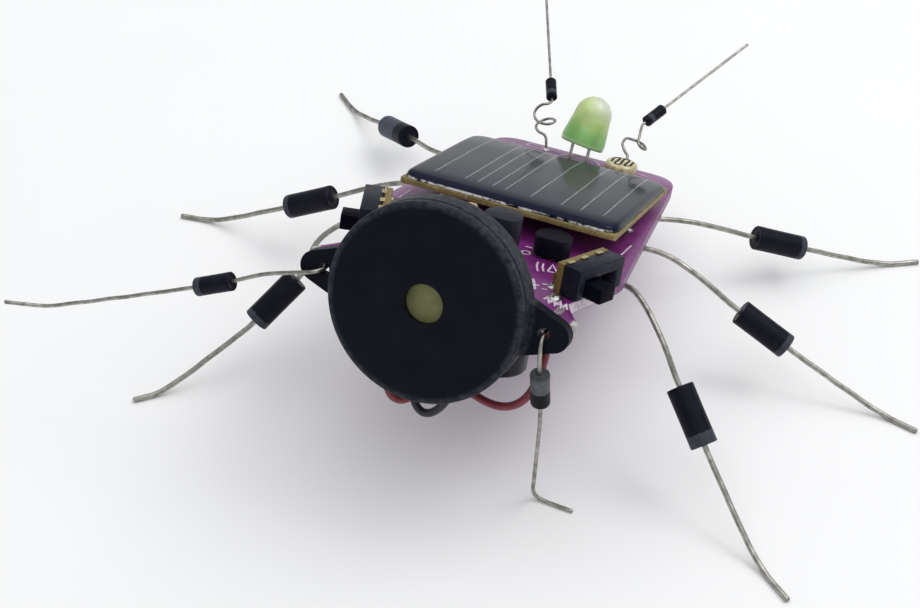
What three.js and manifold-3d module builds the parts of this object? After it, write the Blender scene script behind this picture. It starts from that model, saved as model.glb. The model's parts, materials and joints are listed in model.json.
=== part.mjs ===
// A solar powered robot bug kit: a small circuit board carries a solar panel, a round buzzer as its head,
// an LED tail and two slide switches, and stands on the bent wires of eight diodes.
// Millimetres, +Z up. The head looks along -Y and the antennae point along +Y.
import * as THREE from "three";
import { mergeVertices } from "three/addons/utils/BufferGeometryUtils.js";
import Module from "manifold-3d";

const wasm = await Module();
wasm.setup();

// ---------- driving dimensions ----------

const GAP = 0.06; // clearance where two pieces touch
const BOARD_TILT = THREE.MathUtils.degToRad(18.4); // the board slopes down towards the tail
const BOARD_HEIGHT = 20.8; // height of the board frame's origin, on the board's top face

const board = {
  thick: 1.6,
  frontY: -24.7,
  lobeHalf: 16.4,
  lobeY: -23.8,
  lobeRadius: 1.2,
  waistHalf: 13.8,
  waistY: -19.3,
  shoulderHalf: 17.2,
  shoulderY: -8.0,
  rearHalf: 13.9,
  rearSideY: 28.4,
  rearY: 32.8,
  notchHalf: 0.5,
  notchDepth: 4.2,
};

const panel = {
  halfWidth: 14.4,
  length: 27.0,
  frontY: -4.2, // its front edge is propped up and its tail edge rests low over the board
  frontZ: 2.9,
  slope: THREE.MathUtils.degToRad(3.4),
  baseThick: 0.7,
  resinThick: 0.95,
  resinInset: 0.15,
  cornerRadius: 1.6,
  edgeRadius: 0.5,
};

const buzzer = {
  faceY: -29.5,
  faceZ: -0.5,
  tilt: THREE.MathUtils.degToRad(85.5),
  radius: 11.7,
  depth: 4.3,
  wall: 1.1,
  faceThick: 1.0,
  soundHoleRadius: 2.35,
  grooveDepth: 0.25,
  earX: 13.5,
  earDrop: 0.3, // how far the ears' holes are below the case's axis
  earTipX: 14.6,
  earTipRadius: 1.85,
  earTipTurn: 1.19, // half the angle that the rounded tip takes up, in radians
  earThick: 1.6,
  earRootX: 9.5,
  earRootHalf: 4.0,
  earHoleRadius: 0.75,
};

const led = {
  x: -0.45,
  y: 29.5,
  z: 2.5,
  lean: THREE.MathUtils.degToRad(17), // backwards
  tilt: THREE.MathUtils.degToRad(7), // to the right
  radius: 2.65,
  height: 7.3,
  baseRadius: 3.2,
  baseHeight: 1.3,
  waistHeight: 3.6,
  pitch: 2.54,
  wire: 0.5,
};

const sensor = {
  x: 6.2,
  y: 28.0,
  z: 0.7,
  radius: 2.3,
  thick: 1.5,
  pitch: 2.6,
  wire: 0.4,
};

const slideSwitch = {
  left: { x: 12.1, y: -13.3 },
  right: { x: 13.1, y: -13.5 },
  turn: THREE.MathUtils.degToRad(20),
  length: 8.6,
  height: 3.8,
  bottomZ: 0.1,
  baseThick: 0.9,
  depth: 2.5,
  roof: 1.4, // thickness of the housing above the knob
  knobWidth: 2.8,
  knobHeight: 1.9,
  knobLift: 0.2,
  knobReach: 2.2,
  travel: 3.0,
  pinPitch: 3.0,
  pinReach: 0.9,
};

const bigDiode = { radius: 1.7, length: 7.6, wire: 0.7 };
const smallDiode = { radius: 1.15, length: 4.9, wire: 0.5 };
const antennaDiode = { radius: 0.8, length: 3.5, wire: 0.4 };

const capacitor = {
  x: 5.9,
  y: -18.2,
  radius: 4.0,
  height: 8.6,
  standOff: 0.4,
  pitch: 3.5,
  wire: 0.5,
};

const transistor = {
  width: 4.6,
  depth: 3.5,
  height: 4.7,
  standOff: 1.6,
  pitch: 1.27,
  wire: 0.45,
};
const frontTransistor = { x: 2.9, y: -14.2 };
const sideTransistor = { x: 7.6, y: -7.6 };

const resistor = {
  x: -4.2,
  y: -10.6,
  z: 4.3,
  radius: 1.0,
  length: 5.4,
  pitch: 8.6,
  wire: 0.5,
};

const tailTab = { x: 10.6, y: 21.6, wire: 0.5 };
const lead = { diameter: 1.0 };
const HOLE_CLEARANCE = 0.2; // added to a wire's radius for its hole in the board

const COLOUR = {
  board: 0x5c1e5e,
  black: 0x14161c,
  darkBlue: 0x1b1f2c,
  resin: 0x2a2d3a,
  brown: 0x7a6430,
  phenolic: 0x8a5a22,
  brass: 0xa39a4e,
  ceramic: 0xd9d4c4,
  tin: 0xa9a59c,
  red: 0x6e1a20,
  green: 0x6fb85a,
  foam: 0x222222,
  gold: 0xb7a36a,
};

// ---------- helpers ----------

function material(colour, roughness = 0.5, metalness = 0) {
  return new THREE.MeshStandardMaterial({ color: colour, roughness, metalness });
}

function solid(geometry) {
  const plain = geometry.index ? geometry.toNonIndexed() : geometry.clone();
  plain.deleteAttribute("normal");
  plain.deleteAttribute("uv");
  const merged = mergeVertices(plain, 1e-4);
  return new wasm.Manifold(
    new wasm.Mesh({
      numProp: 3,
      vertProperties: merged.attributes.position.array,
      triVerts: new Uint32Array(merged.index.array),
    }),
  );
}

function shapeOf(manifold) {
  const mesh = manifold.getMesh();
  const geometry = new THREE.BufferGeometry();
  geometry.setAttribute("position", new THREE.BufferAttribute(mesh.vertProperties, 3));
  geometry.setIndex(new THREE.BufferAttribute(mesh.triVerts, 1));
  const flat = geometry.toNonIndexed();
  flat.computeVertexNormals();
  return flat;
}

function cut(from, ...tools) {
  return shapeOf(tools.reduce((rest, tool) => rest.subtract(solid(tool)), solid(from)));
}

function join(first, ...others) {
  return shapeOf(others.reduce((sum, other) => sum.add(solid(other)), solid(first)));
}

function block(x0, x1, y0, y1, z0, z1) {
  const geometry = new THREE.BoxGeometry(x1 - x0, y1 - y0, z1 - z0);
  return geometry.translate((x0 + x1) / 2, (y0 + y1) / 2, (z0 + z1) / 2);
}

// A round bar along Z.
function bar(x, y, radius, z0, z1, sides = 24) {
  const geometry = new THREE.CylinderGeometry(radius, radius, z1 - z0, sides);
  return geometry.rotateX(Math.PI / 2).translate(x, y, (z0 + z1) / 2);
}

// A body turned about Z from a profile of [radius, z] points that starts and ends on the axis.
function turned(profile, sides) {
  const points = profile.map(([radius, z]) => new THREE.Vector2(radius, z));
  return new THREE.LatheGeometry(points, sides).rotateX(Math.PI / 2);
}

function plate(outline, z0, z1, curveSegments = 6) {
  const geometry = new THREE.ExtrudeGeometry(outline, { depth: z1 - z0, bevelEnabled: false, curveSegments });
  return geometry.translate(0, 0, z0);
}

function roundSection(radius, sides) {
  const corners = [];
  for (let i = 0; i < sides; i++) {
    const angle = (2 * Math.PI * i) / sides;
    corners.push(new THREE.Vector2(radius * Math.cos(angle), radius * Math.sin(angle)));
  }
  return new THREE.Shape(corners);
}

function pathLength(points) {
  return points.slice(1).reduce((sum, point, i) => sum + point.distanceTo(points[i]), 0);
}

// Straight runs between hand-set points, with a rounded bend at each inner point.
function bentPath(points, bendRadius) {
  const path = new THREE.CurvePath();
  let start = points[0];
  for (let i = 1; i < points.length - 1; i++) {
    const corner = points[i];
    const before = Math.min(bendRadius, corner.distanceTo(points[i - 1]) * 0.45);
    const after = Math.min(bendRadius, corner.distanceTo(points[i + 1]) * 0.45);
    const enter = corner.clone().lerp(points[i - 1], before / corner.distanceTo(points[i - 1]));
    const leave = corner.clone().lerp(points[i + 1], after / corner.distanceTo(points[i + 1]));
    path.add(new THREE.LineCurve3(start, enter));
    path.add(new THREE.QuadraticBezierCurve3(enter, corner, leave));
    start = leave;
  }
  path.add(new THREE.LineCurve3(start, points.at(-1)));
  return path;
}

function wire(points, diameter, { bend = 1.2, step = 1.0, sides = 6 } = {}) {
  const path = points.length > 2 ? bentPath(points, bend) : new THREE.LineCurve3(...points);
  const steps = points.length > 2 ? Math.ceil(pathLength(points) / step) : 1;
  const section = roundSection(diameter / 2, sides);
  return new THREE.ExtrudeGeometry(section, { steps, bevelEnabled: false, extrudePath: path });
}

function hose(points, diameter, steps) {
  const path = new THREE.CatmullRomCurve3(points, false, "centripetal");
  const section = roundSection(diameter / 2, 8);
  return new THREE.ExtrudeGeometry(section, { steps, bevelEnabled: false, extrudePath: path });
}

function vec(x, y, z) {
  return new THREE.Vector3(x, y, z);
}

function add(group, name, geometry, finish) {
  const mesh = new THREE.Mesh(geometry, finish);
  mesh.name = name;
  group.add(mesh);
  return mesh;
}

const finish = {
  tin: material(COLOUR.tin, 0.3, 1),
  diode: material(COLOUR.darkBlue, 0.45),
  black: material(COLOUR.black, 0.5),
};

// ---------- groups ----------

const kit = new THREE.Group();
const boardGroup = new THREE.Group();
boardGroup.rotation.x = -BOARD_TILT;
boardGroup.position.z = BOARD_HEIGHT;
kit.add(boardGroup);
boardGroup.updateMatrixWorld(true);

// A point in the board's frame, seen in the kit's upright frame.
function upright(x, y, z) {
  return vec(x, y, z).applyMatrix4(boardGroup.matrixWorld);
}

// ---------- legs and antennae: where each wire goes through the board ----------

const legHole = { front: [14.6, -5.0], middle: [13.0, 8.4], rear: [12.0, 20.6] };
const antennaHole = [6.0, 31.0];

// A point in a switch's own frame, +X out of the board and +Y along the switch, seen on the board.
function switchPoint(side, x, y) {
  const place = side > 0 ? slideSwitch.right : slideSwitch.left;
  const turn = slideSwitch.turn;
  return [
    side * (place.x + x * Math.cos(turn) + y * Math.sin(turn)),
    place.y - x * Math.sin(turn) + y * Math.cos(turn),
  ];
}

// ---------- circuit board ----------

function boardOutline() {
  const b = board;
  const shape = new THREE.Shape();
  shape.moveTo(-b.lobeHalf + b.lobeRadius, b.frontY);
  for (const side of [-1, 1]) {
    const x = side * buzzer.earX;
    shape.lineTo(x - b.notchHalf, b.frontY);
    shape.lineTo(x - b.notchHalf, b.frontY + b.notchDepth);
    shape.lineTo(x + b.notchHalf, b.frontY + b.notchDepth);
    shape.lineTo(x + b.notchHalf, b.frontY);
  }
  shape.lineTo(b.lobeHalf - b.lobeRadius, b.frontY);
  shape.quadraticCurveTo(b.lobeHalf + 0.2, b.frontY, b.lobeHalf, b.lobeY);
  shape.quadraticCurveTo(b.lobeHalf - 1.6, b.waistY - 2.3, b.waistHalf, b.waistY);
  shape.lineTo(b.shoulderHalf - 0.3, b.shoulderY - 1.2);
  shape.quadraticCurveTo(b.shoulderHalf, b.shoulderY, b.shoulderHalf - 0.1, b.shoulderY + 1.2);
  shape.lineTo(b.rearHalf, b.rearSideY);
  shape.quadraticCurveTo(b.rearHalf - 0.3, b.rearY, b.rearHalf - 4.0, b.rearY);
  shape.lineTo(-b.rearHalf + 4.0, b.rearY);
  shape.quadraticCurveTo(-b.rearHalf + 0.3, b.rearY, -b.rearHalf, b.rearSideY);
  shape.lineTo(-b.shoulderHalf + 0.1, b.shoulderY + 1.2);
  shape.quadraticCurveTo(-b.shoulderHalf, b.shoulderY, -b.shoulderHalf + 0.3, b.shoulderY - 1.2);
  shape.lineTo(-b.waistHalf, b.waistY);
  shape.quadraticCurveTo(-b.lobeHalf + 1.6, b.waistY - 2.3, -b.lobeHalf, b.lobeY);
  shape.quadraticCurveTo(-b.lobeHalf - 0.2, b.frontY, -b.lobeHalf + b.lobeRadius, b.frontY);
  return shape;
}

const holes = []; // [x, y, wire diameter]
for (const side of [-1, 1]) {
  for (const [x, y] of Object.values(legHole)) {
    holes.push([side * x, y, bigDiode.wire]);
  }
  const pinBack = -slideSwitch.baseThick / 2 - slideSwitch.pinReach;
  for (const pin of [-1, 0, 1]) {
    const [x, y] = switchPoint(side, pinBack, pin * slideSwitch.pinPitch);
    holes.push([x, y, 0.6]);
  }
  holes.push([side * antennaHole[0], antennaHole[1], antennaDiode.wire]);
  holes.push([led.x + (side * led.pitch) / 2, led.y - 0.6, led.wire]);
  holes.push([sensor.x + (side * sensor.pitch) / 2, sensor.y, sensor.wire]);
  holes.push([side * tailTab.x, tailTab.y, tailTab.wire]);
  holes.push([capacitor.x + (side * capacitor.pitch) / 2, capacitor.y, capacitor.wire]);
  holes.push([resistor.x + (side * resistor.pitch) / 2, resistor.y, resistor.wire]);
}
for (const spot of [frontTransistor, sideTransistor]) {
  for (const pin of [-1, 0, 1]) {
    holes.push([spot.x + pin * transistor.pitch, spot.y, transistor.wire]);
  }
}
const redHole = [12.0, -18.6];
const blackHole = [-3.4, -19.4];
for (const [x, y] of [redHole, blackHole]) {
  holes.push([x, y, lead.diameter]);
}
const boardBlank = plate(boardOutline(), -board.thick, 0);
const drills = holes.map(([x, y, size]) => bar(x, y, size / 2 + HOLE_CLEARANCE, -board.thick - 1, 1, 8));
add(boardGroup, "circuit_board", cut(boardBlank, ...drills), material(COLOUR.board, 0.35));

// ---------- solar panel ----------

function roundedRectangle(x0, x1, y0, y1, radius) {
  const shape = new THREE.Shape();
  shape.moveTo(x0 + radius, y0);
  shape.lineTo(x1 - radius, y0);
  shape.absarc(x1 - radius, y0 + radius, radius, -Math.PI / 2, 0);
  shape.lineTo(x1, y1 - radius);
  shape.absarc(x1 - radius, y1 - radius, radius, 0, Math.PI / 2);
  shape.lineTo(x0 + radius, y1);
  shape.absarc(x0 + radius, y1 - radius, radius, Math.PI / 2, Math.PI);
  shape.lineTo(x0, y0 + radius);
  shape.absarc(x0 + radius, y0 + radius, radius, Math.PI, 1.5 * Math.PI);
  return shape;
}

const roof = new THREE.Group();
roof.position.set(0, panel.frontY, panel.frontZ);
roof.rotation.x = -panel.slope;
boardGroup.add(roof);

add(
  roof,
  "solar_panel_base",
  plate(roundedRectangle(-panel.halfWidth, panel.halfWidth, 0, panel.length, 0.4), 0, panel.baseThick, 2),
  material(COLOUR.brown, 0.6),
);

// The resin is poured over the cells, so its upper edge is rounded.
function resinCap() {
  const inset = panel.resinInset + panel.edgeRadius;
  const outline = roundedRectangle(
    -panel.halfWidth + inset,
    panel.halfWidth - inset,
    inset,
    panel.length - inset,
    panel.cornerRadius - panel.edgeRadius,
  );
  const cap = new THREE.ExtrudeGeometry(outline, {
    depth: panel.resinThick - panel.edgeRadius,
    bevelEnabled: true,
    bevelThickness: panel.edgeRadius,
    bevelSize: panel.edgeRadius,
    bevelSegments: 3,
    curveSegments: 3,
  });
  const floor = panel.baseThick + GAP;
  cap.translate(0, 0, floor);
  const wide = 2 * panel.length;
  return cut(cap, block(-wide, wide, -wide, wide, floor - 2, floor));
}
add(roof, "solar_cell_resin", resinCap(), material(COLOUR.resin, 0.12));

// A wedge of foam tape holds the panel to the board.
function foamWedge() {
  const underside = (y) => panel.frontZ - (y - panel.frontY) * Math.tan(panel.slope) - GAP;
  const side = new THREE.Shape();
  side.moveTo(3, GAP);
  side.lineTo(17, GAP);
  side.lineTo(17, underside(17));
  side.lineTo(3, underside(3));
  const wedge = new THREE.ExtrudeGeometry(side, { depth: 12, bevelEnabled: false });
  return wedge.translate(0, 0, -6).rotateY(Math.PI / 2).rotateX(Math.PI / 2);
}
add(boardGroup, "solar_panel_pad", foamWedge(), material(COLOUR.foam, 0.95));

for (const [name, side] of [["left", -1], ["right", 1]]) {
  const x = side * tailTab.x;
  const underside = panel.frontZ - (tailTab.y - panel.frontY) * Math.tan(panel.slope);
  const points = [vec(x, tailTab.y, underside - 2 * GAP), vec(x, tailTab.y, -board.thick - 0.9)];
  add(boardGroup, `solar_wire_${name}`, wire(points, tailTab.wire), finish.tin);
}

// ---------- buzzer, the head ----------

const head = new THREE.Group();
head.position.set(0, buzzer.faceY, buzzer.faceZ);
head.rotation.x = buzzer.tilt; // the head's +Z leaves its front face, and its +Y points up
boardGroup.add(head);

function earOutline(side) {
  const b = buzzer;
  const shape = new THREE.Shape();
  const lean = side > 0 ? 0 : Math.PI;
  const top = side * b.earRootHalf - b.earDrop;
  const bottom = -side * b.earRootHalf - b.earDrop;
  shape.moveTo(side * (b.earRootX - 3), bottom);
  shape.lineTo(side * b.earRootX, bottom);
  shape.absarc(side * b.earTipX, -b.earDrop, b.earTipRadius, lean - b.earTipTurn, lean + b.earTipTurn);
  shape.lineTo(side * b.earRootX, top);
  shape.lineTo(side * (b.earRootX - 3), top);
  return shape;
}

function buzzerCase() {
  const b = buzzer;
  const inner = b.radius - b.wall;
  const ridge = b.radius - b.grooveDepth;
  const shell = turned(
    [
      [0, -b.faceThick],
      [inner, -b.faceThick],
      [inner, -b.depth],
      [b.radius, -b.depth],
      [b.radius, -1.9],
      [ridge, -1.7],
      [ridge, -1.3],
      [b.radius, -1.1],
      [b.radius, -0.5],
      [b.radius - 0.15, -0.15],
      [b.radius - 0.5, 0],
      [0, 0],
    ],
    48,
  );
  const ears = [-1, 1].map((side) => plate(earOutline(side), -b.depth, -b.depth + b.earThick, 5));
  const hollow = bar(0, 0, inner, -b.depth - 1, -b.faceThick, 48);
  const soundHole = bar(0, 0, b.soundHoleRadius, -b.depth - 1, 1, 24);
  const earHoles = [-1, 1].map((side) =>
    bar(side * b.earX, -b.earDrop, b.earHoleRadius, -b.depth - 1, 1, 12),
  );
  let whole = solid(shell);
  for (const ear of ears) {
    whole = whole.add(solid(ear));
  }
  for (const tool of [hollow, soundHole, ...earHoles]) {
    whole = whole.subtract(solid(tool));
  }
  return shapeOf(whole);
}
add(head, "buzzer_case", buzzerCase(), material(COLOUR.black, 0.55));

const brassTop = -buzzer.faceThick - 0.3;
const brassRadius = buzzer.radius - buzzer.wall - 0.2;
add(
  head,
  "buzzer_brass_disc",
  bar(0, 0, brassRadius, brassTop - 0.3, brassTop, 36),
  material(COLOUR.brass, 0.35, 1),
);
add(
  head,
  "buzzer_ceramic_disc",
  bar(0, 0, 7.0, brassTop - 0.65, brassTop - 0.3 - GAP, 32),
  material(COLOUR.ceramic, 0.6),
);

const redExit = [-4.6, -4.6];
const blackExit = [3.6, -3.6];
const coverTop = -buzzer.depth + 1.1;
const cover = cut(
  bar(0, 0, brassRadius, -buzzer.depth + 0.2, coverTop, 36),
  ...[redExit, blackExit].map(([x, y]) => bar(x, y, 0.8, -buzzer.depth - 1, 0, 10)),
);
add(head, "buzzer_back_cover", cover, material(COLOUR.black, 0.6));

// ---------- buzzer wires, which hang in a loop below the head and come up into the board ----------

function headPoint(x, y, z) {
  head.updateMatrix();
  return vec(x, y, z).applyMatrix4(head.matrix);
}

const exitDepth = -buzzer.depth + 0.6;
const redRoute = [
  headPoint(...redExit, exitDepth),
  headPoint(...redExit, exitDepth - 1.4),
  vec(-5.3, -23.4, -7.6),
  vec(-5.4, -23.0, -12.0),
  vec(-5.3, -22.9, -15.0),
  vec(-4.6, -22.7, -16.6),
  vec(-3.4, -22.2, -17.0),
  vec(-2.3, -21.4, -15.9),
  vec(-0.8, -20.7, -14.4),
  vec(1.8, -20.7, -13.4),
  vec(4.6, -21.7, -13.3),
  vec(7.8, -22.5, -13.8),
  vec(10.2, -22.8, -13.2),
  vec(12.1, -22.8, -11.2),
  vec(12.8, -22.3, -8.4),
  vec(12.7, -20.8, -5.2),
  vec(...redHole, -2.4),
  vec(...redHole, -0.6),
];
const blackRoute = [
  headPoint(...blackExit, exitDepth),
  headPoint(...blackExit, exitDepth - 1.4),
  vec(3.8, -23.5, -7.4),
  vec(3.2, -23.4, -12.0),
  vec(1.6, -23.4, -15.7),
  vec(-0.3, -23.3, -17.0),
  vec(-1.7, -22.9, -14.9),
  vec(-2.9, -21.4, -9.6),
  vec(-3.4, -20.2, -5.4),
  vec(...blackHole, -2.6),
  vec(...blackHole, -0.6),
];
add(boardGroup, "buzzer_wire_red", hose(redRoute, lead.diameter, 38), material(COLOUR.red, 0.5));
add(boardGroup, "buzzer_wire_black", hose(blackRoute, lead.diameter, 26), finish.black);

// ---------- LED, the tail light ----------

const tail = new THREE.Group();
tail.position.set(led.x, led.y, led.z);
tail.rotation.set(-led.lean, led.tilt, 0);
boardGroup.add(tail);

function ledLens() {
  const profile = [
    [0, 0],
    [led.baseRadius - 0.3, 0],
    [led.baseRadius, 0.3],
    [led.baseRadius, led.baseHeight],
    [led.radius + 0.15, led.waistHeight],
  ];
  const domeBase = led.height - led.radius;
  for (let i = 0; i <= 6; i++) {
    const angle = (Math.PI / 2) * (i / 6);
    profile.push([led.radius * Math.cos(angle), domeBase + led.radius * Math.sin(angle)]);
  }
  profile[profile.length - 1][0] = 0;
  return turned(profile, 28);
}
add(tail, "led_lens", ledLens(), material(COLOUR.green, 0.2));

for (const [name, side] of [["anode", 1], ["cathode", -1]]) {
  tail.updateMatrix();
  const reach = (side * led.pitch) / 2;
  const x = led.x + reach;
  const top = vec(reach, 0, -GAP).applyMatrix4(tail.matrix);
  const points = [top, vec(x, led.y - 0.6, 0.3), vec(x, led.y - 0.6, -board.thick - 0.9)];
  add(boardGroup, `led_${name}_wire`, wire(points, led.wire, { bend: 0.3, step: 1.2 }), finish.tin);
}

// ---------- light sensor beside the tail light ----------

const sensorProfile = [
  [0, 0],
  [sensor.radius, 0],
  [sensor.radius, sensor.thick - 0.3],
  [sensor.radius - 0.3, sensor.thick],
  [0, sensor.thick],
];
const sensorBody = turned(sensorProfile, 24).translate(sensor.x, sensor.y, sensor.z);
add(boardGroup, "light_sensor", sensorBody, material(COLOUR.gold, 0.4));
for (const [name, side] of [["a", -1], ["b", 1]]) {
  const x = sensor.x + (side * sensor.pitch) / 2;
  const points = [vec(x, sensor.y, sensor.z - GAP), vec(x, sensor.y, -board.thick - 0.9)];
  add(boardGroup, `light_sensor_wire_${name}`, wire(points, sensor.wire), finish.tin);
}

// ---------- slide switches on the shoulders ----------

function buildSwitch(side, name) {
  const s = slideSwitch;
  const group = new THREE.Group();
  const [x, y] = switchPoint(side, 0, 0);
  group.position.set(x, y, s.bottomZ);
  group.rotation.z = -side * s.turn;
  group.scale.x = side;
  boardGroup.add(group);

  const half = s.length / 2;
  const baseBack = -s.baseThick / 2;
  const baseFront = s.baseThick / 2;
  const caseBack = baseFront + GAP;
  const caseFront = caseBack + s.depth;
  const slotTop = s.height - s.roof;
  const slotHalf = s.travel / 2 + s.knobWidth / 2 + 0.15;
  const rest = -s.travel / 2; // the knob stands at the front end of its slot

  // The housing is a bridge: a roof and two end blocks, with a deeper hollow behind for the carriage.
  const housing = cut(
    block(caseBack, caseFront, -half, half, 0, s.height),
    block(caseBack - 1, caseFront + 1, -slotHalf, slotHalf, -1, slotTop),
    block(caseBack - 1, caseBack + 0.9, -half + 0.5, half - 0.5, -1, slotTop),
  );
  add(group, `switch_${name}_housing`, housing, material(COLOUR.darkBlue, 0.5));

  const pinBack = baseBack - s.pinReach;
  const pinBottom = -s.bottomZ - board.thick - 0.8;
  const pins = [-1, 0, 1].flatMap((pin) => {
    const along = pin * s.pinPitch;
    return [
      block(pinBack - 0.15, baseBack + 0.3, along - 0.25, along + 0.25, 1.5, 1.8),
      block(pinBack - 0.15, pinBack + 0.15, along - 0.25, along + 0.25, pinBottom, 1.8),
    ];
  });
  const base = join(block(baseBack, baseFront, -half, half, 0, s.height - 0.05), ...pins);
  add(group, `switch_${name}_contact_base`, base, material(COLOUR.phenolic, 0.6));

  const knobTop = s.knobLift + s.knobHeight;
  const carriageHalf = s.knobWidth / 2 + 0.7;
  const carriage = block(
    caseBack + 0.15,
    caseBack + 0.7,
    rest - carriageHalf,
    rest + carriageHalf,
    0.1,
    knobTop,
  );
  const knob = block(
    caseBack + 0.4,
    caseFront + s.knobReach,
    rest - s.knobWidth / 2,
    rest + s.knobWidth / 2,
    s.knobLift,
    knobTop,
  );
  add(group, `switch_${name}_slider`, join(carriage, knob), finish.black);
}
buildSwitch(-1, "left");
buildSwitch(1, "right");

// ---------- small parts on the board ----------

function storageCapacitor() {
  const c = capacitor;
  const top = -board.thick - c.standOff;
  const bottom = top - c.height;
  const can = turned(
    [
      [0, bottom],
      [c.radius - 0.5, bottom],
      [c.radius - 0.15, bottom + 0.15],
      [c.radius, bottom + 0.5],
      [c.radius, top - 1.9],
      [c.radius - 0.3, top - 1.6],
      [c.radius, top - 1.3],
      [c.radius - 0.3, top],
      [0, top],
    ],
    28,
  ).translate(c.x, c.y, 0);
  const pins = [-1, 1].map((side) =>
    bar(c.x + (side * c.pitch) / 2, c.y, c.wire / 2, top - 0.5, 0.7, 6),
  );
  return join(can, ...pins);
}
add(boardGroup, "storage_capacitor", storageCapacitor(), material(COLOUR.black, 0.35));

// The usual three-leg plastic body: a round back and a flat front.
function transistorBody(spot, standOff, height) {
  const t = transistor;
  const shape = new THREE.Shape();
  const flat = -t.depth / 2 + 0.1;
  const corner = Math.asin(flat / (t.width / 2));
  shape.absarc(0, 0.35, t.width / 2, corner, Math.PI - corner);
  shape.closePath();
  const body = plate(shape, standOff, standOff + height, 8);
  const pins = [-1, 0, 1].map((pin) =>
    bar(pin * t.pitch, 0, t.wire / 2, -board.thick - 0.8, standOff + 0.4, 6),
  );
  return join(body, ...pins).translate(spot.x, spot.y, 0);
}
add(
  boardGroup,
  "front_transistor",
  transistorBody(frontTransistor, transistor.standOff, transistor.height),
  material(COLOUR.darkBlue, 0.5),
);
add(boardGroup, "side_transistor", transistorBody(sideTransistor, 0.4, 2.4), finish.black);

function resistorPiece() {
  const r = resistor;
  const half = r.length / 2;
  const body = turned(
    [
      [0, -half],
      [r.radius * 0.75, -half],
      [r.radius, -half + 0.4],
      [r.radius, -half + 1.2],
      [r.radius * 0.85, -half + 1.6],
      [r.radius * 0.85, half - 1.6],
      [r.radius, half - 1.2],
      [r.radius, half - 0.4],
      [r.radius * 0.75, half],
      [0, half],
    ],
    16,
  )
    .rotateY(Math.PI / 2)
    .translate(r.x, r.y, r.z);
  const leftHole = r.x - r.pitch / 2;
  const rightHole = r.x + r.pitch / 2;
  const foot = -board.thick - 0.8;
  const route = [
    vec(leftHole, r.y, foot),
    vec(leftHole, r.y, r.z),
    vec(rightHole, r.y, r.z),
    vec(rightHole, r.y, foot),
  ];
  return join(body, wire(route, r.wire, { bend: 0.8, step: 0.9 }));
}
add(boardGroup, "resistor", resistorPiece(), material(0x8f7a4a, 0.5));

// ---------- legs and antennae ----------

function diodeBody(diode, centre, direction) {
  const half = diode.length / 2;
  const edge = diode.radius * 0.14;
  const profile = [
    [0, -half],
    [diode.radius - edge, -half],
    [diode.radius, -half + edge],
    [diode.radius, half - edge],
    [diode.radius - edge, half],
    [0, half],
  ];
  const geometry = turned(profile, 20);
  const turn = new THREE.Quaternion().setFromUnitVectors(vec(0, 0, 1), direction);
  return geometry.applyQuaternion(turn).translate(...centre.toArray());
}

// A diode whose two wires are bent into one limb: an inner wire from the board and an outer wire.
function limb(name, diode, inner, centre, outer, options) {
  const direction = outer[0].clone().sub(inner.at(-1)).normalize();
  const reach = diode.length / 2 + GAP;
  const innerEnd = centre.clone().addScaledVector(direction, -reach);
  const outerStart = centre.clone().addScaledVector(direction, reach);
  add(kit, `${name}_inner_wire`, wire([...inner, innerEnd], diode.wire, options), finish.tin);
  add(kit, `${name}_diode`, diodeBody(diode, centre, direction), finish.diode);
  add(kit, `${name}_outer_wire`, wire([outerStart, ...outer], diode.wire, options), finish.tin);
}

// Each big leg leaves its hole below the board, runs out level past the board's edge, bends down at
// the knee, and ends in a foot that lies flat on the ground. Places are in the upright frame. The knees
// are for the right side and are mirrored for the left; the diodes and feet are each leg's own.
const knees = {
  rear: [[14.3, 19.9, 11.8], [18.1, 22.1, 11.0], [22.3, 24.7, 9.2]],
  middle: [[15.4, 8.5, 15.6], [18.9, 8.3, 15.6], [23.6, 8.2, 13.4]],
  front: [[16.8, -4.0, 19.7], [19.6, -6.2, 19.7], [23.4, -9.3, 17.0]],
};
const bigLegs = {
  right_rear: { centre: [29.6, 29.1, 5.9], foot: [43.4, 37.3], toe: [48.3, 40.3] },
  right_middle: { centre: [32.6, 7.8, 8.3], foot: [49.6, 7.1], toe: [54.5, 6.0] },
  right_front: { centre: [29.1, -13.9, 11.0], foot: [41.3, -23.7], toe: [45.9, -27.3] },
  left_rear: { centre: [-30.7, 31.8, 5.4], foot: [-42.2, 40.1], toe: [-46.5, 43.8] },
  left_middle: { centre: [-33.0, 7.3, 8.3], foot: [-48.6, 6.2], toe: [-53.7, 5.4] },
  left_front: { centre: [-26.4, -15.2, 10.3], foot: [-37.0, -27.7], toe: [-39.7, -30.3] },
};
for (const [name, leg] of Object.entries(bigLegs)) {
  const [sideName, place] = name.split("_");
  const side = sideName === "right" ? 1 : -1;
  const [holeX, holeY] = legHole[place];
  const centre = vec(...leg.centre);
  const foot = vec(...leg.foot, bigDiode.wire / 2);
  const toe = vec(...leg.toe, bigDiode.wire / 2);
  const inner = [
    upright(side * holeX, holeY, 0.8),
    upright(side * holeX, holeY, -board.thick - 1.0),
    ...knees[place].map(([x, y, z]) => vec(side * x, y, z)),
  ];
  const along = foot.clone().sub(inner.at(-1)).normalize();
  inner.push(centre.clone().addScaledVector(along, -bigDiode.length / 2 - 1.5));
  const outer = [centre.clone().addScaledVector(along, bigDiode.length / 2 + 1.5), foot, toe];
  limb(`${name}_leg`, bigDiode, inner, centre, outer, { bend: 5, step: 1.4 });
}

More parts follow.
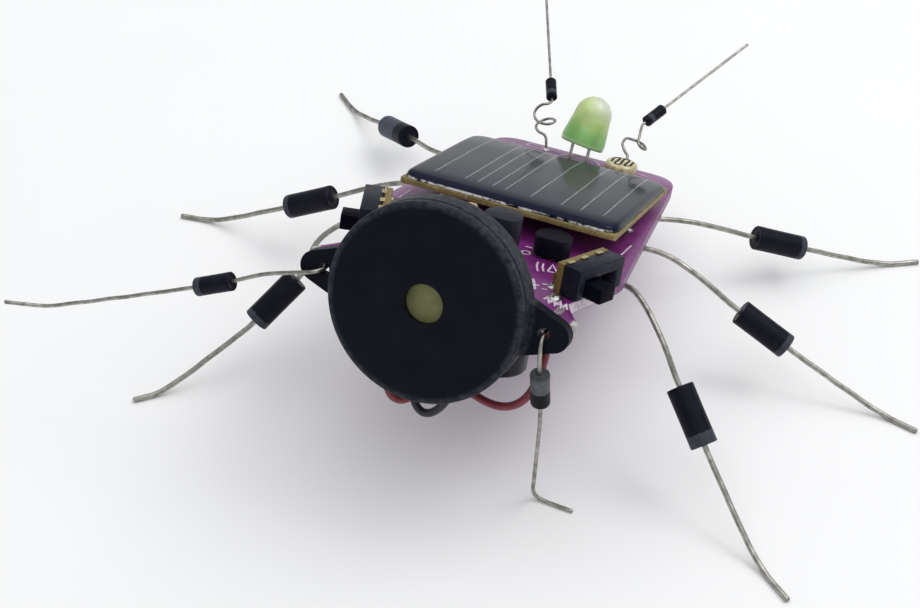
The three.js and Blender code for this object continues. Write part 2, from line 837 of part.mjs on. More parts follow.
// The two small legs start in the board's front notches and pass through the holes in the head's ears.
// The right one hangs straight down to the ground, and the left one reaches out sideways above it.
function smallLegStart(side) {
  const x = side * buzzer.earX;
  const ear = headPoint(x, -buzzer.earDrop, -buzzer.depth + buzzer.earThick / 2);
  return [upright(x, board.frontY + 3.4, -0.8), upright(x, ear.y - 1.7, ear.z)];
}
limb(
  "right_small_leg",
  smallDiode,
  [...smallLegStart(1), vec(13.8, -27.4, 25.4)],
  vec(13.9, -26.7, 21.0),
  [vec(14.0, -26.0, 15.0), vec(13.3, -24.6, 0.25), vec(18.6, -24.8, 0.25)],
  { bend: 1.8, step: 1.3 },
);
limb(
  "left_small_leg",
  smallDiode,
  [...smallLegStart(-1), vec(-20.6, -27.0, 26.0)],
  vec(-26.9, -28.1, 23.0),
  [vec(-39.4, -30.1, 17.9), vec(-49.8, -31.8, 14.0), vec(-54.7, -33.2, 14.1)],
  { bend: 1.4, step: 1.5 },
);

// Each antenna's hand-bent spring, in the board's frame: one and a half wide turns on the left, and
// a hook with one small turn on the right.
const leftSpring = [
  upright(-6.0, 31.0, 0.6),
  upright(-6.5, 31.4, 1.9),
  upright(-7.8, 31.8, 2.2),
  upright(-8.4, 32.4, 2.5),
  upright(-8.4, 33.3, 3.0),
  upright(-7.7, 33.8, 3.5),
  upright(-6.7, 33.4, 4.0),
  upright(-5.7, 32.4, 4.2),
  upright(-5.8, 31.5, 4.0),
  upright(-6.6, 31.0, 3.8),
  upright(-8.0, 31.3, 3.8),
  upright(-8.9, 32.1, 4.4),
  upright(-8.8, 32.4, 5.2),
  upright(-8.0, 32.3, 6.1),
  upright(-7.2, 32.4, 6.4),
];
const rightSpring = [
  upright(6.0, 31.0, 0.6),
  upright(6.0, 31.6, 2.0),
  upright(5.3, 32.0, 2.6),
  upright(4.7, 32.6, 3.4),
  upright(5.0, 33.0, 4.1),
  upright(5.6, 33.5, 4.0),
  upright(6.5, 33.6, 3.9),
  upright(7.6, 33.0, 3.8),
  upright(8.3, 32.0, 3.5),
  upright(7.7, 31.3, 3.9),
  upright(7.1, 31.5, 4.5),
  upright(7.0, 32.2, 4.9),
  upright(6.9, 32.7, 5.7),
];

// An antenna rises from its hole, makes its spring turns, and runs out to the tail side.
function antenna(side, name, spring) {
  const [holeX, holeY] = antennaHole;
  const points = [upright(side * holeX, holeY, -board.thick - 0.8), ...spring];
  const centre = vec(side * 7.9, 35.9, 17.0);
  const tip = vec(side * 16.0, 54.8, 20.2);
  const direction = tip.clone().sub(centre).normalize();
  const reach = antennaDiode.length / 2 + GAP;
  points.push(centre.clone().addScaledVector(direction, -reach - 0.7));
  points.push(centre.clone().addScaledVector(direction, -reach));
  const path = new THREE.CatmullRomCurve3(points, false, "centripetal");
  const section = roundSection(antennaDiode.wire / 2, 6);
  const inner = new THREE.ExtrudeGeometry(section, { steps: 50, bevelEnabled: false, extrudePath: path });
  add(kit, `${name}_antenna_inner_wire`, inner, finish.tin);
  add(kit, `${name}_antenna_diode`, diodeBody(antennaDiode, centre, direction), finish.diode);
  const outerStart = centre.clone().addScaledVector(direction, reach);
  add(kit, `${name}_antenna_outer_wire`, wire([outerStart, tip], antennaDiode.wire), finish.tin);
}
antenna(-1, "left", leftSpring);
antenna(1, "right", rightSpring);

// ---------- the origin: below the middle of the whole kit, where it stands ----------

kit.updateMatrixWorld(true);
const bounds = new THREE.Box3().setFromObject(kit, true);
const middle = bounds.getCenter(new THREE.Vector3());
kit.position.set(-middle.x, -middle.y, -bounds.min.z);

export default kit;
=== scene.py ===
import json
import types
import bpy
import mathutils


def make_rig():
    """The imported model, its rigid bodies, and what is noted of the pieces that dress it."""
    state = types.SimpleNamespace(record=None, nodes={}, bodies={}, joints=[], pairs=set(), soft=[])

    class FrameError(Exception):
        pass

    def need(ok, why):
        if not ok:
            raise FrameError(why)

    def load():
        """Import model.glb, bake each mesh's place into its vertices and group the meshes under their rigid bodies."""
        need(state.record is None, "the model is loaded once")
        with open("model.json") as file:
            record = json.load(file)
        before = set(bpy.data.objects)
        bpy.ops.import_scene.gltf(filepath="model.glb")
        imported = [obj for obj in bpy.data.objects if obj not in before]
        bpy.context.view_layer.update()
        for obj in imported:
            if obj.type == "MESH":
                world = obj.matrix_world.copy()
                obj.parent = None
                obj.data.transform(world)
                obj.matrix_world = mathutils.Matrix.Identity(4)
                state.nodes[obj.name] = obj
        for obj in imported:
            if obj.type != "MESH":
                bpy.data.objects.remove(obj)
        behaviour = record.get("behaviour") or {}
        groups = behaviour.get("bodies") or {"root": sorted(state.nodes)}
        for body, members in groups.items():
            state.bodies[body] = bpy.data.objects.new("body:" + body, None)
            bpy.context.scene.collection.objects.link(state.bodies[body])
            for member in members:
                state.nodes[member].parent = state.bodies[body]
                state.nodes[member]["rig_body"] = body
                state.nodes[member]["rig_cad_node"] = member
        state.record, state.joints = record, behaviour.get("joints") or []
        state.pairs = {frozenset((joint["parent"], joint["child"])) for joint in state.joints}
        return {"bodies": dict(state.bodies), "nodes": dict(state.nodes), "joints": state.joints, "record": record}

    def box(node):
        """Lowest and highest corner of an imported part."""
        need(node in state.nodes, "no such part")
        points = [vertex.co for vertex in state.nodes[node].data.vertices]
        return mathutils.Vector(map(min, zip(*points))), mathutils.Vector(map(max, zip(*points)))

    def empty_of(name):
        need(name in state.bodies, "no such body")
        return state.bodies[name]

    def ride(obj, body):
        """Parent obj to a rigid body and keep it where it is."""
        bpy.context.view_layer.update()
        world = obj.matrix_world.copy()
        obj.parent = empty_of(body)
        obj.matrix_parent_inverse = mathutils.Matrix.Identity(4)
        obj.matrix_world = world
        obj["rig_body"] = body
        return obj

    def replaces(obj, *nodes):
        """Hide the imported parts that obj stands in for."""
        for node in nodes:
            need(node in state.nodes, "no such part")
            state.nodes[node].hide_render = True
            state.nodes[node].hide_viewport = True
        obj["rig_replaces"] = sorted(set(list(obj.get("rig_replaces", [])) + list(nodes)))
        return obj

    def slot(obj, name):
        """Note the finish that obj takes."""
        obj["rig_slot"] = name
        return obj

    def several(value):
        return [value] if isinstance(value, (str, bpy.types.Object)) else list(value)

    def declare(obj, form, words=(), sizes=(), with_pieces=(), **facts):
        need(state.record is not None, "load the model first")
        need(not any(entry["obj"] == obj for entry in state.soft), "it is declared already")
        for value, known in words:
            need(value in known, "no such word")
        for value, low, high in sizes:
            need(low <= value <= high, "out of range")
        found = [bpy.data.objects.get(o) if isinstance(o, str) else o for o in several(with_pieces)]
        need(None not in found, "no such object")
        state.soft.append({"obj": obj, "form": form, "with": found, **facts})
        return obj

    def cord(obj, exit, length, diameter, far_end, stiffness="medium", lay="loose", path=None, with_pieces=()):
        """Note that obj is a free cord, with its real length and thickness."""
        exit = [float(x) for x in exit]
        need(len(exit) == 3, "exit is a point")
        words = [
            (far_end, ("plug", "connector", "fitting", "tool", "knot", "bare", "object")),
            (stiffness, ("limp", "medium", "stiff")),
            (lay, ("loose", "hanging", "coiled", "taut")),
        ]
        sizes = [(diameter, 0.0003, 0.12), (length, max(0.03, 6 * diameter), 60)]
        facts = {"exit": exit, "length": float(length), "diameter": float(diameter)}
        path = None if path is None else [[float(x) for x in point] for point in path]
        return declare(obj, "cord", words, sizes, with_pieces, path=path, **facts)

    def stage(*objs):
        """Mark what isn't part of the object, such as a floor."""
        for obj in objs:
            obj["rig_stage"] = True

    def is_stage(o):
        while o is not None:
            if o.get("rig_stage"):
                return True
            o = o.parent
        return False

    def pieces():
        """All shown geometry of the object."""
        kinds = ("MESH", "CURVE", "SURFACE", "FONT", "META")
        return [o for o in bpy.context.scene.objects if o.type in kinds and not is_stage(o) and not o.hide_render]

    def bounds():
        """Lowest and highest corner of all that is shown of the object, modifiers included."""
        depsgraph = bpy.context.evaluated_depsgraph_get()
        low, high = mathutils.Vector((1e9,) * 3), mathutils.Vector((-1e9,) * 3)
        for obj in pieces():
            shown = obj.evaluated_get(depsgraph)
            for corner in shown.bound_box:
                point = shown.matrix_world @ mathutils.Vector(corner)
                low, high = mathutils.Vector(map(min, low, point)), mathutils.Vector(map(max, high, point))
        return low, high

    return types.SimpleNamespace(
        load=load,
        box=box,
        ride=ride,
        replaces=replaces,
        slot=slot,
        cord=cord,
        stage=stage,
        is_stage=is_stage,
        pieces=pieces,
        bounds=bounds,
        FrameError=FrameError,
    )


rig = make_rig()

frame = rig.load()
cad_box = [list(corner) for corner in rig.bounds()]

import json
import math
import random

import bmesh
import bpy
import numpy as np
from mathutils import Matrix, Vector

# A solar powered robot bug kit. Lengths below are in millimetres unless a comment says otherwise, and
# MM turns them into the scene's metres.
MM = 0.001
NODES = frame["nodes"]
BODY = "kit"
SLIDER_BODY = {"left": "left_slider", "right": "right_slider"}
SIDES = {"left": -1, "right": 1}
random.seed(7)

# ---------- frames: 4x4 matrices from a local frame in millimetres to the shared frame in metres ----------

BOARD_TILT = math.radians(18.4)
HEAD_TILT = math.radians(85.5)  # from the board's normal to the head's face normal
PANEL_SLOPE = math.radians(3.4)
LED_LEAN = math.radians(17)  # backwards
LED_TILT = math.radians(7)  # to the right
BOARD_FRONT = -24.7  # the board's front edge in its own frame
BOARD_THICK = 1.6
WIRE_CLEARANCE = 0.2  # the board's holes are this much larger than their wires, in radius
BOARD_TURN = Matrix.Rotation(-BOARD_TILT, 3, "X")
BOARD_UP = BOARD_TURN @ Vector((0, 0, 1))


def vertices(node):
    mesh = NODES[node].data
    flat = np.zeros(len(mesh.vertices) * 3, np.float32)
    mesh.vertices.foreach_get("co", flat)
    return flat.reshape(-1, 3).astype(float)


def local_box(node, rotation):
    """Lowest and highest corner of a node, in millimetres, along the axes of a rotation."""
    local = vertices(node) @ np.array(rotation) / MM
    return Vector(local.min(0)), Vector(local.max(0))


def placed(rotation, origin):
    """The frame with that rotation, whose origin is given in millimetres along its own axes."""
    return Matrix.Translation(rotation @ Vector(origin) * MM) @ rotation.to_4x4() @ Matrix.Scale(MM, 4)


def part_frame(node, rotation, level, y=None):
    """A frame on a part's middle line and its lowest (0) or highest (1) level. y counts from its near end."""
    box = local_box(node, rotation)
    middle = (box[0] + box[1]) / 2
    return placed(rotation, (middle.x, middle.y if y is None else box[0].y + y, box[level].z))


BOARD = part_frame("circuit_board", BOARD_TURN, 1, -BOARD_FRONT)
HEAD = part_frame("buzzer_case", BOARD_TURN @ Matrix.Rotation(HEAD_TILT, 3, "X"), 1)
PANEL = part_frame("solar_panel_base", BOARD_TURN @ Matrix.Rotation(-PANEL_SLOPE, 3, "X"), 0, 0)
LED_TURN = Matrix.Rotation(-LED_LEAN, 3, "X") @ Matrix.Rotation(LED_TILT, 3, "Y")
TAIL = part_frame("led_lens", BOARD_TURN @ LED_TURN, 0)


def switch_frame(name):
    """+X leaves the board sideways, +Y runs along the switch and +Z leaves the board's top face."""
    joint = next(j for j in frame["joints"] if j["child"] == SLIDER_BODY[name])
    along = Vector(joint["axis"]).normalized()
    out = along.cross(BOARD_UP).normalized() * SIDES[name]
    rotation = Matrix((out, along, BOARD_UP)).transposed()
    low, high = local_box(f"switch_{name}_housing", rotation)
    return placed(rotation, (low.x, (low.y + high.y) / 2, low.z))


def seat(node):
    """A frame on the board where a turned part stands, with the part's radius and height."""
    low, high = local_box(node, BOARD_TURN)
    return part_frame(node, BOARD_TURN, 0), (high.x - low.x) / 2, high.z - low.z


# ---------- camera ----------

CAMERA_PLACE = (51.7, -156.12, 143.6)
CAMERA_RIGHT = Vector((0.92, 0.391, 0.022))
CAMERA_BACK = Vector((0.279, -0.694, 0.664))
FOCAL_LENGTH = 60.63
SENSOR_WIDTH = 36
CLIP = (0.005, 20)  # in metres


def make_camera():
    data = bpy.data.cameras.new("camera")
    data.lens = FOCAL_LENGTH
    data.sensor_width = SENSOR_WIDTH
    data.clip_start, data.clip_end = CLIP
    camera = bpy.data.objects.new("camera", data)
    bpy.context.scene.collection.objects.link(camera)
    back = CAMERA_BACK.normalized()
    up = back.cross(CAMERA_RIGHT).normalized()
    right = up.cross(back)
    turn = Matrix((right, up, back)).transposed().to_4x4()
    camera.matrix_world = Matrix.Translation(Vector(CAMERA_PLACE) * MM) @ turn
    bpy.context.scene.camera = camera


# ---------- mesh helpers ----------

HARD_EDGE = math.radians(28)  # edges of the CAD solids that turn by more than this are rounded


def linked(name, bm):
    """A new object in the scene that takes bm's mesh, with its normals facing outwards."""
    bmesh.ops.recalc_face_normals(bm, faces=bm.faces)
    mesh = bpy.data.meshes.new(name)
    bm.to_mesh(mesh)
    bm.free()
    made = bpy.data.objects.new(name, mesh)
    bpy.context.scene.collection.objects.link(made)
    return made


def give(mesh, finish):
    mesh.materials.clear()
    mesh.materials.append(finish)


def finished(piece, angle, finish, slot, node=None, body=BODY):
    """The piece, smooth but for edges over an angle in degrees, riding on a body in place of a CAD node."""
    for face in piece.data.polygons:
        face.use_smooth = True
    piece.data.set_sharp_from_angle(angle=math.radians(angle))
    give(piece.data, finish)
    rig.ride(piece, body)
    if node is not None:
        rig.replaces(piece, node)
    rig.slot(piece, slot)
    return piece


def add_piece(name, bm, angle, finish, slot, node=None, body=BODY):
    return finished(linked(name, bm), angle, finish, slot, node, body)


def add_skin(bm, rings):
    """Quads between each ring of corners and the next, and a face over each end; the last is returned."""
    for a, b in zip(rings, rings[1:]):
        for k in range(len(a)):
            n = (k + 1) % len(a)
            bm.faces.new((a[k], a[n], b[n], b[k]))
    bm.faces.new(rings[0][::-1])
    return bm.faces.new(rings[-1])


def arc(x, y, radius, start, end, steps):
    """Points along an arc between two angles in degrees."""
    turn = [math.radians(start + (end - start) * i / steps) for i in range(steps + 1)]
    return [(x + radius * math.cos(a), y + radius * math.sin(a)) for a in turn]


def smooth_path(points, step):
    """A curve through given points, with a point about every step, in the points' own unit."""
    points = [Vector(p) for p in points]
    padded = [2 * points[0] - points[1], *points, 2 * points[-1] - points[-2]]
    path = []
    for a, b, c, d in zip(padded, padded[1:], padded[2:], padded[3:]):
        count = max(1, round((c - b).length / step))
        for i in range(count):
            t = i / count
            bend, twist = 2 * a - 5 * b + 4 * c - d, 3 * b - a - 3 * c + d
            path.append(0.5 * (2 * b + (c - a) * t + bend * t**2 + twist * t**3))
    path.append(points[-1])
    return path


def eased(path, rounds):
    """The path with its bends opened a little; its two ends stay where they are."""
    for _ in range(rounds):
        middle = [(a + 2 * b + c) / 4 for a, b, c in zip(path, path[1:], path[2:])]
        path = [path[0], *middle, path[-1]]
    return path


def path_length(path):
    return sum((b - a).length for a, b in zip(path, path[1:]))


def add_tube(bm, path, radius, sides=16, height=None, up=None, blunt=0.3):
    """A closed tube along a path. height flattens it along up. Its ends shrink by blunt of the radius."""
    height = radius if height is None else height
    tangents = [(b - a).normalized() for a, b in zip([path[0], *path[:-1]], [*path[1:], path[-1]])]
    side = tangents[0].orthogonal().normalized()
    rings = []
    for centre, tangent in zip(path, tangents):
        side = side if up is None else tangent.cross(up).normalized()
        side = (side - tangent * side.dot(tangent)).normalized()
        over = side.cross(tangent)
        turns = [2 * math.pi * k / sides for k in range(sides)]
        offsets = [side * math.cos(a) * radius + over * math.sin(a) * height for a in turns]
        rings.append([bm.verts.new(centre + offset) for offset in offsets])
    if blunt:
        tips = []
        for end, sign in ((0, -1), (-1, 1)):
            push = tangents[end] * sign * radius * blunt
            corners = [path[end] + (v.co - path[end]) * (1 - blunt) + push for v in rings[end]]
            tips.append([bm.verts.new(corner) for corner in corners])
        rings = [tips[0], *rings, tips[1]]
    add_skin(bm, rings)


def add_turned(bm, profile, place, sides=48, uv=None, closed=False):
    """A body turned about local Z from [radius, z] points, which start and end on the axis or close up."""
    rings = []
    zs = [z for _, z in profile]
    low, span = min(zs), max(zs) - min(zs)
    turns = [2 * math.pi * k / sides for k in range(sides)]
    for radius, z in profile:
        on_axis = radius < 1e-9
        corners = [(0, 0)] if on_axis else [(radius * math.cos(a), radius * math.sin(a)) for a in turns]
        rings.append([bm.verts.new(place @ Vector((x, y, z))) for x, y in corners])
    pairs = list(zip(range(len(rings)), range(1, len(rings))))
    if closed:
        pairs.append((len(rings) - 1, 0))
    for i, j in pairs:
        a, b = rings[i], rings[j]
        ua, ub = (zs[i] - low) / span, (zs[j] - low) / span
        for k in range(sides):
            quad = [(a, k, ua), (a, k + 1, ua), (b, k + 1, ub), (b, k, ub)]
            if len(a) == 1:
                quad[:2] = [(a, k + 0.5, ua)]
            elif len(b) == 1:
                quad[2:] = [(b, k + 0.5, ub)]
            face = bm.faces.new([ring[int(v) % len(ring)] for ring, v, _ in quad])
            if uv is not None:
                for loop, (_, v, u) in zip(face.loops, quad):
                    loop[uv].uv = (u, v / sides)


def add_box(bm, place, low, high, bevel):
    """A box with rounded edges, in the local frame of place."""
    centre = (Vector(low) + Vector(high)) / 2
    size = Vector(high) - Vector(low)
    corners = bmesh.ops.create_cube(bm, size=1.0)["verts"]
    local = Matrix.Translation(centre) @ Matrix.Diagonal((*size, 1))
    bmesh.ops.transform(bm, matrix=place @ local, verts=corners)
    edges = list(dict.fromkeys(e for v in corners for e in v.link_edges))
    bmesh.ops.bevel(bm, geom=edges, offset=bevel * MM, segments=2, affect="EDGES", profile=0.5)


def cad_copy(node):
    """A welded copy of a CAD node's mesh, to be worked on."""
    bm = bmesh.new()
    bm.from_mesh(NODES[node].data)
    bmesh.ops.remove_doubles(bm, verts=bm.verts, dist=1e-6)
    return bm


def refined(node, name, finish, bevel, slot, body=BODY, pick=None):
    """A finer version of a hard-edged CAD node: its flat faces are made whole and its edges are rounded."""
    bm = cad_copy(node)
    bmesh.ops.dissolve_limit(bm, angle_limit=math.radians(1), verts=bm.verts, edges=bm.edges)
    edges = [e for e in bm.edges if len(e.link_faces) == 2 and e.calc_face_angle(0) > HARD_EDGE]
    if pick is not None:
        edges = [e for e in edges if pick(e)]
    bmesh.ops.bevel(
        bm, geom=edges, offset=bevel * MM, segments=2, affect="EDGES", profile=0.5, clamp_overlap=True
    )
    add_piece(name, bm, 40, finish, slot, node, body)


def face_groups(faces, joined):
    """The corners and their middle for each group of neighbouring faces for which joined holds."""
    left = dict.fromkeys(faces)  # a dict keeps its order, so that every run gives the same result
    while left:
        group = [next(iter(left))]
        del left[group[0]]
        queue = list(group)
        while queue:
            face = queue.pop()
            for other in (o for edge in face.edges for o in edge.link_faces):
                if other in left and joined(face, other):
                    del left[other]
                    group.append(other)
                    queue.append(other)
        corners = list(dict.fromkeys(v for face in group for v in face.verts))
        yield corners, sum((v.co for v in corners), Vector()) / len(corners)


def rings_of(node):
    """The centre of each ring of corners along a CAD wire, from end to end, and the wire's radius."""
    bm = cad_copy(node)
    ends = []
    for corners, middle in face_groups(bm.faces, lambda a, b: b.normal.dot(a.normal) > 0.9999):
        reach = [(v.co - middle).length for v in corners]
        if len(corners) in (6, 8) and max(reach) < 1.02 * min(reach):
            ends.append(corners)
    ring = ends[0]
    centres = []
    seen = set()
    while ring:
        centres.append(sum((v.co for v in ring), Vector()) / len(ring))
        seen.update(ring)
        beyond = dict.fromkeys(e.other_vert(v) for v in ring for e in v.link_edges)
        ring = [v for v in beyond if v not in seen]
    radius = max((v.co - centres[0]).length for v in ends[0])
    bm.free()
    return centres, radius


# ---------- materials ----------


class Finish:
    """A material's node tree, with short calls for the nodes that the finishes below are made of."""

    def __init__(self, name, **shader):
        self.material = bpy.data.materials.new(name)
        self.material.use_nodes = True
        self.tree = self.material.node_tree
        self.shader = self.tree.nodes["Principled BSDF"]
        self.place = self.tree.nodes.new("ShaderNodeTexCoord").outputs["Object"]
        self.uv = self.tree.nodes.new("ShaderNodeUVMap").outputs["UV"]
        for socket, value in shader.items():
            self.shader.inputs[socket.replace("_", " ")].default_value = value

    def node(self, kind, inputs, **options):
        made = self.tree.nodes.new(kind)
        for key, value in options.items():
            setattr(made, key, value)
        for key, value in inputs.items():
            if isinstance(value, bpy.types.NodeSocket):
                self.tree.links.new(value, made.inputs[key])
            else:
                made.inputs[key].default_value = value
        return made

    def noise(self, size, detail=4.0, roughness=0.55):
        """Noise whose features are about size millimetres wide."""
        inputs = {"Vector": self.place, "Scale": 1 / (size * MM), "Detail": detail, "Roughness": roughness}
        return self.node("ShaderNodeTexNoise", inputs).outputs["Fac"]

    def cells(self, size):
        inputs = {"Vector": self.place, "Scale": 1 / (size * MM)}
        return self.node("ShaderNodeTexVoronoi", inputs).outputs["Distance"]

    def math(self, operation, a, b=0.0):
        return self.node("ShaderNodeMath", {0: a, 1: b}, operation=operation).outputs[0]

    def plus(self, a, b):
        return self.math("ADD", a, b)

    def times(self, a, b):
        return self.math("MULTIPLY", a, b)

    def spread(self, value, low=0.3, high=0.7, out_low=0.0, out_high=1.0):
        inputs = {"Value": value, "From Min": low, "From Max": high, "To Min": out_low, "To Max": out_high}
        return self.node("ShaderNodeMapRange", inputs, clamp=True).outputs[0]

    def mix(self, factor, a, b):
        a, b = ((*value, 1) if isinstance(value, tuple) else value for value in (a, b))
        return self.node("ShaderNodeMix", {0: factor, 6: a, 7: b}, data_type="RGBA").outputs[2]

    def local(self, matrix):
        """Coordinates in a local frame, in millimetres, as three separate numbers."""
        back = matrix.inverted()
        moved = []
        for row in back[:3]:
            inputs = {0: self.place, 1: tuple(row[:3])}
            dot = self.node("ShaderNodeVectorMath", inputs, operation="DOT_PRODUCT")
            moved.append(self.plus(dot.outputs["Value"], row[3]))
        return moved

    def split_uv(self):
        made = self.node("ShaderNodeSeparateXYZ", {0: self.uv})
        return made.outputs[0], made.outputs[1]

    def band(self, value, start, end, soft=0.01):
        """1 between start and end, and 0 outside, with soft edges."""
        rise = self.spread(value, start - soft, start + soft)
        fall = self.spread(value, end - soft, end + soft, 1.0, 0.0)
        return self.times(rise, fall)

    def colour(self, value):
        self.link("Base Color", value)

    def clouds(self, size, detail, dark, light):
        """A soft mottling of two colours."""
        return self.mix(self.spread(self.noise(size, detail)), dark, light)

    def rough(self, value, low, high, smooth, dull):
        self.link("Roughness", self.spread(value, low, high, smooth, dull))

    def link(self, name, value):
        self.tree.links.new(value, self.shader.inputs[name])

    def bump(self, height, strength, depth, under=None):
        inputs = {"Height": height, "Strength": strength, "Distance": depth * MM}
        if under is not None:
            inputs["Normal"] = under
        made = self.node("ShaderNodeBump", inputs).outputs["Normal"]
        self.link("Normal", made)
        return made


INSULATION = {"Specular_IOR_Level": 0.45, "Coat_Weight": 0.1, "Coat_Roughness": 0.35}
SHADERS = {  # uniform values of the mottled finishes
    "red_insulation": INSULATION,
    "black_insulation": INSULATION,
    "solder": {"Metallic": 1.0},
    "terminal_brass": {"Metallic": 1.0},
    "disc_brass": {"Metallic": 0.3, "Specular_IOR_Level": 0.4},
    "sensor_ceramic": {"Coat_Weight": 0.8, "Coat_Roughness": 0.1},
}
MOTTLED = {  # name: dark, light, clouds, gloss, relief and sometimes span, as mottled() takes them
    "red_insulation": (
        (0.145, 0.016, 0.026), (0.25, 0.036, 0.05), (1.6, 4), (0.4, 0.56, 0.6, 3), (0.3, 0.02, 0.35, 3)
    ),
    "black_insulation": (
        (0.01, 0.011, 0.013), (0.02, 0.021, 0.024), (1.6, 4), (0.4, 0.56, 0.6, 3), (0.3, 0.02, 0.35, 3)
    ),
    "solder": ((0.42, 0.41, 0.39), (0.74, 0.73, 0.71), (0.5, 5), (0.18, 0.42), (0.5, 0.03, 0.35, 3)),
    "terminal_brass": ((0.42, 0.33, 0.13), (0.72, 0.63, 0.38), (0.6, 4), (0.28, 0.5), (0.3, 0.02, 0.2, 3)),
    "disc_brass": (
        (0.165, 0.175, 0.068), (0.235, 0.245, 0.105), (1.8, 5), (0.5, 0.66, 0.4, 4), (0.3, 0.01, 0.15, 2)
    ),
    "sensor_ceramic": (
        (0.42, 0.36, 0.17), (0.72, 0.66, 0.42), (0.8, 5), (0.3, 0.5), (0.3, 0.03), (0.35, 0.65)
    ),
    "board_ink": ((0.42, 0.27, 0.42), (0.78, 0.74, 0.78), (0.25, 5), (0.45, 0.7), (0.4, 0.01), (0.35, 0.62)),
    "phenolic": ((0.12, 0.08, 0.018), (0.26, 0.18, 0.048), (0.35, 6, 0.65), (0.45, 0.65), (0.4, 0.03)),
}


def moulded(name, dark, light, roughness, specular):
    """Moulded plastic: a fine grain, faint mottling and soft gloss variation."""
    f = Finish(name, Specular_IOR_Level=specular)
    f.colour(f.clouds(2.5, 5, dark, light))
    f.rough(f.noise(0.8, 3), 0.25, 0.75, roughness - 0.06, roughness + 0.07)
    f.bump(f.noise(0.12, 2), 0.25, 0.01)
    return f.material


def mottled(name, dark, light, clouds, gloss, relief, span=(0.3, 0.7)):
    """A plain finish. clouds is a noise; gloss is (smooth, dull) and relief is (strength, depth), and each
    may end with a noise of its own."""
    f = Finish(name, **SHADERS.get(name, {}))
    mottle = f.noise(*clouds)
    f.colour(f.mix(f.spread(mottle, *span), dark, light))
    smooth, dull, *own = gloss
    f.rough(f.noise(*own) if own else mottle, 0.3, 0.7, smooth, dull)
    strength, depth, *own = relief
    f.bump(f.noise(*own) if own else mottle, strength, depth)
    return f.material


def finish_buzzer():
    f = Finish("buzzer_plastic", Specular_IOR_Level=0.08)
    x, y, _ = f.local(HEAD)
    radius = f.math("SQRT", f.plus(f.times(x, x), f.times(y, y)))
    mottle = f.noise(3.5, 5)
    base = f.mix(f.spread(mottle), (0.0034, 0.0043, 0.0085), (0.0056, 0.0068, 0.0125))
    # painted highlight: the rolled rim round the face is painted a patchy paler grey where light catches its curve
    pale_patches = f.times(f.band(radius, 11.05, 12.2, 0.25), f.spread(f.noise(0.7, 4), 0.35, 0.75, 0.2, 1.0))
    f.colour(f.mix(pale_patches, base, (0.05, 0.056, 0.068)))
    f.rough(f.noise(0.6, 3), 0.25, 0.75, 0.42, 0.56)
    f.bump(f.noise(0.1, 2), 0.22, 0.012)
    return f.material


def finish_tin():
    """Tinned wire: warm grey, with dull and bright stretches, fine drawing lines and shallow tool marks."""
    f = Finish("tinned_wire", Metallic=1.0, Specular_IOR_Level=0.5)
    patches = f.noise(1.12, 4, 0.6)
    fine = f.noise(0.154, 3, 0.6)
    grey = f.mix(f.spread(patches), (0.185, 0.176, 0.152), (0.5, 0.485, 0.45))
    f.colour(f.mix(f.spread(fine, 0.52, 0.75, 0.0, 0.45), grey, (0.14, 0.13, 0.112)))
    f.rough(patches, 0.3, 0.7, 0.46, 0.25)
    under = f.bump(fine, 0.35, 0.02)
    f.bump(patches, 0.3, 0.06, under)
    return f.material


DIODE_GREY = (0.036, 0.039, 0.049)
DIODE_BLACK = ((0.004, 0.0045, 0.0095), (0.0075, 0.0085, 0.016))


def finish_diode(name, band, grey=DIODE_GREY, body=DIODE_BLACK):
    """Moulded epoxy with a printed grey band between two places along the body. On two of the diodes this grey band is
    a painted sheen where light catches the body, not print.
    """
    f = Finish(name, Specular_IOR_Level=0.09, Coat_Weight=0.03, Coat_Roughness=0.3)
    u, _ = f.split_uv()
    wander = f.spread(f.noise(0.5, 3), 0.3, 0.7, -0.012, 0.012)
    ink = f.band(f.plus(u, wander), *band, soft=0.012)
    pale_patches = f.times(ink, f.spread(f.noise(0.35, 5), 0.3, 0.42, 0.55, 1.0))
    base = f.clouds(1.4, 4, *body)
    pale = f.clouds(0.5, 4, grey, tuple(c * 1.7 for c in grey))
    f.colour(f.mix(pale_patches, base, pale))
    f.rough(f.noise(0.5, 3), 0.25, 0.75, 0.36, 0.5)
    f.bump(f.plus(f.noise(0.14, 2), f.times(ink, 0.6)), 0.25, 0.014)
    return f.material


def finish_board():
    """Purple solder mask, an edge that turns pale round the front lobes, and tinned tips on them."""
    f = Finish("purple_board", Coat_Weight=0.2, Coat_Roughness=0.18, Coat_IOR=1.5)
    x, y, z = f.local(BOARD)
    weave = f.noise(0.45, 3)
    cloud = f.noise(6.0, 4)
    top = f.mix(f.spread(cloud), (0.12, 0.01, 0.118), (0.19, 0.02, 0.18))
    tracks = f.spread(f.noise(2.2, 1), 0.47, 0.5)
    top = f.mix(f.times(tracks, 0.35), top, (0.235, 0.035, 0.225))
    edge = f.mix(f.spread(f.noise(0.3, 4), 0.35, 0.65), (0.115, 0.012, 0.105), (0.215, 0.045, 0.185))
    side = f.band(z, -BOARD_THICK + 0.1, -0.1, 0.05)
    # the board's edge is paler towards the front lobes
    bare = f.clouds(0.5, 5, (0.46, 0.36, 0.43), (0.74, 0.66, 0.72))
    edge = f.mix(f.spread(y, -9.0, -14.5), edge, bare)
    surface = f.mix(side, top, edge)
    tip = f.times(f.spread(f.math("ABSOLUTE", x), 15.55, 15.75), f.spread(y, -23.1, -23.3))
    tin = f.clouds(0.6, 4, (0.3, 0.29, 0.29), (0.55, 0.53, 0.52))
    f.colour(f.mix(tip, surface, tin))
    rough = f.spread(weave, 0.3, 0.7, 0.26, 0.4)
    f.link("Roughness", f.plus(rough, f.times(side, 0.18)))
    f.bump(f.plus(weave, f.times(tracks, 2.0)), 0.3, 0.012)
    return f.material


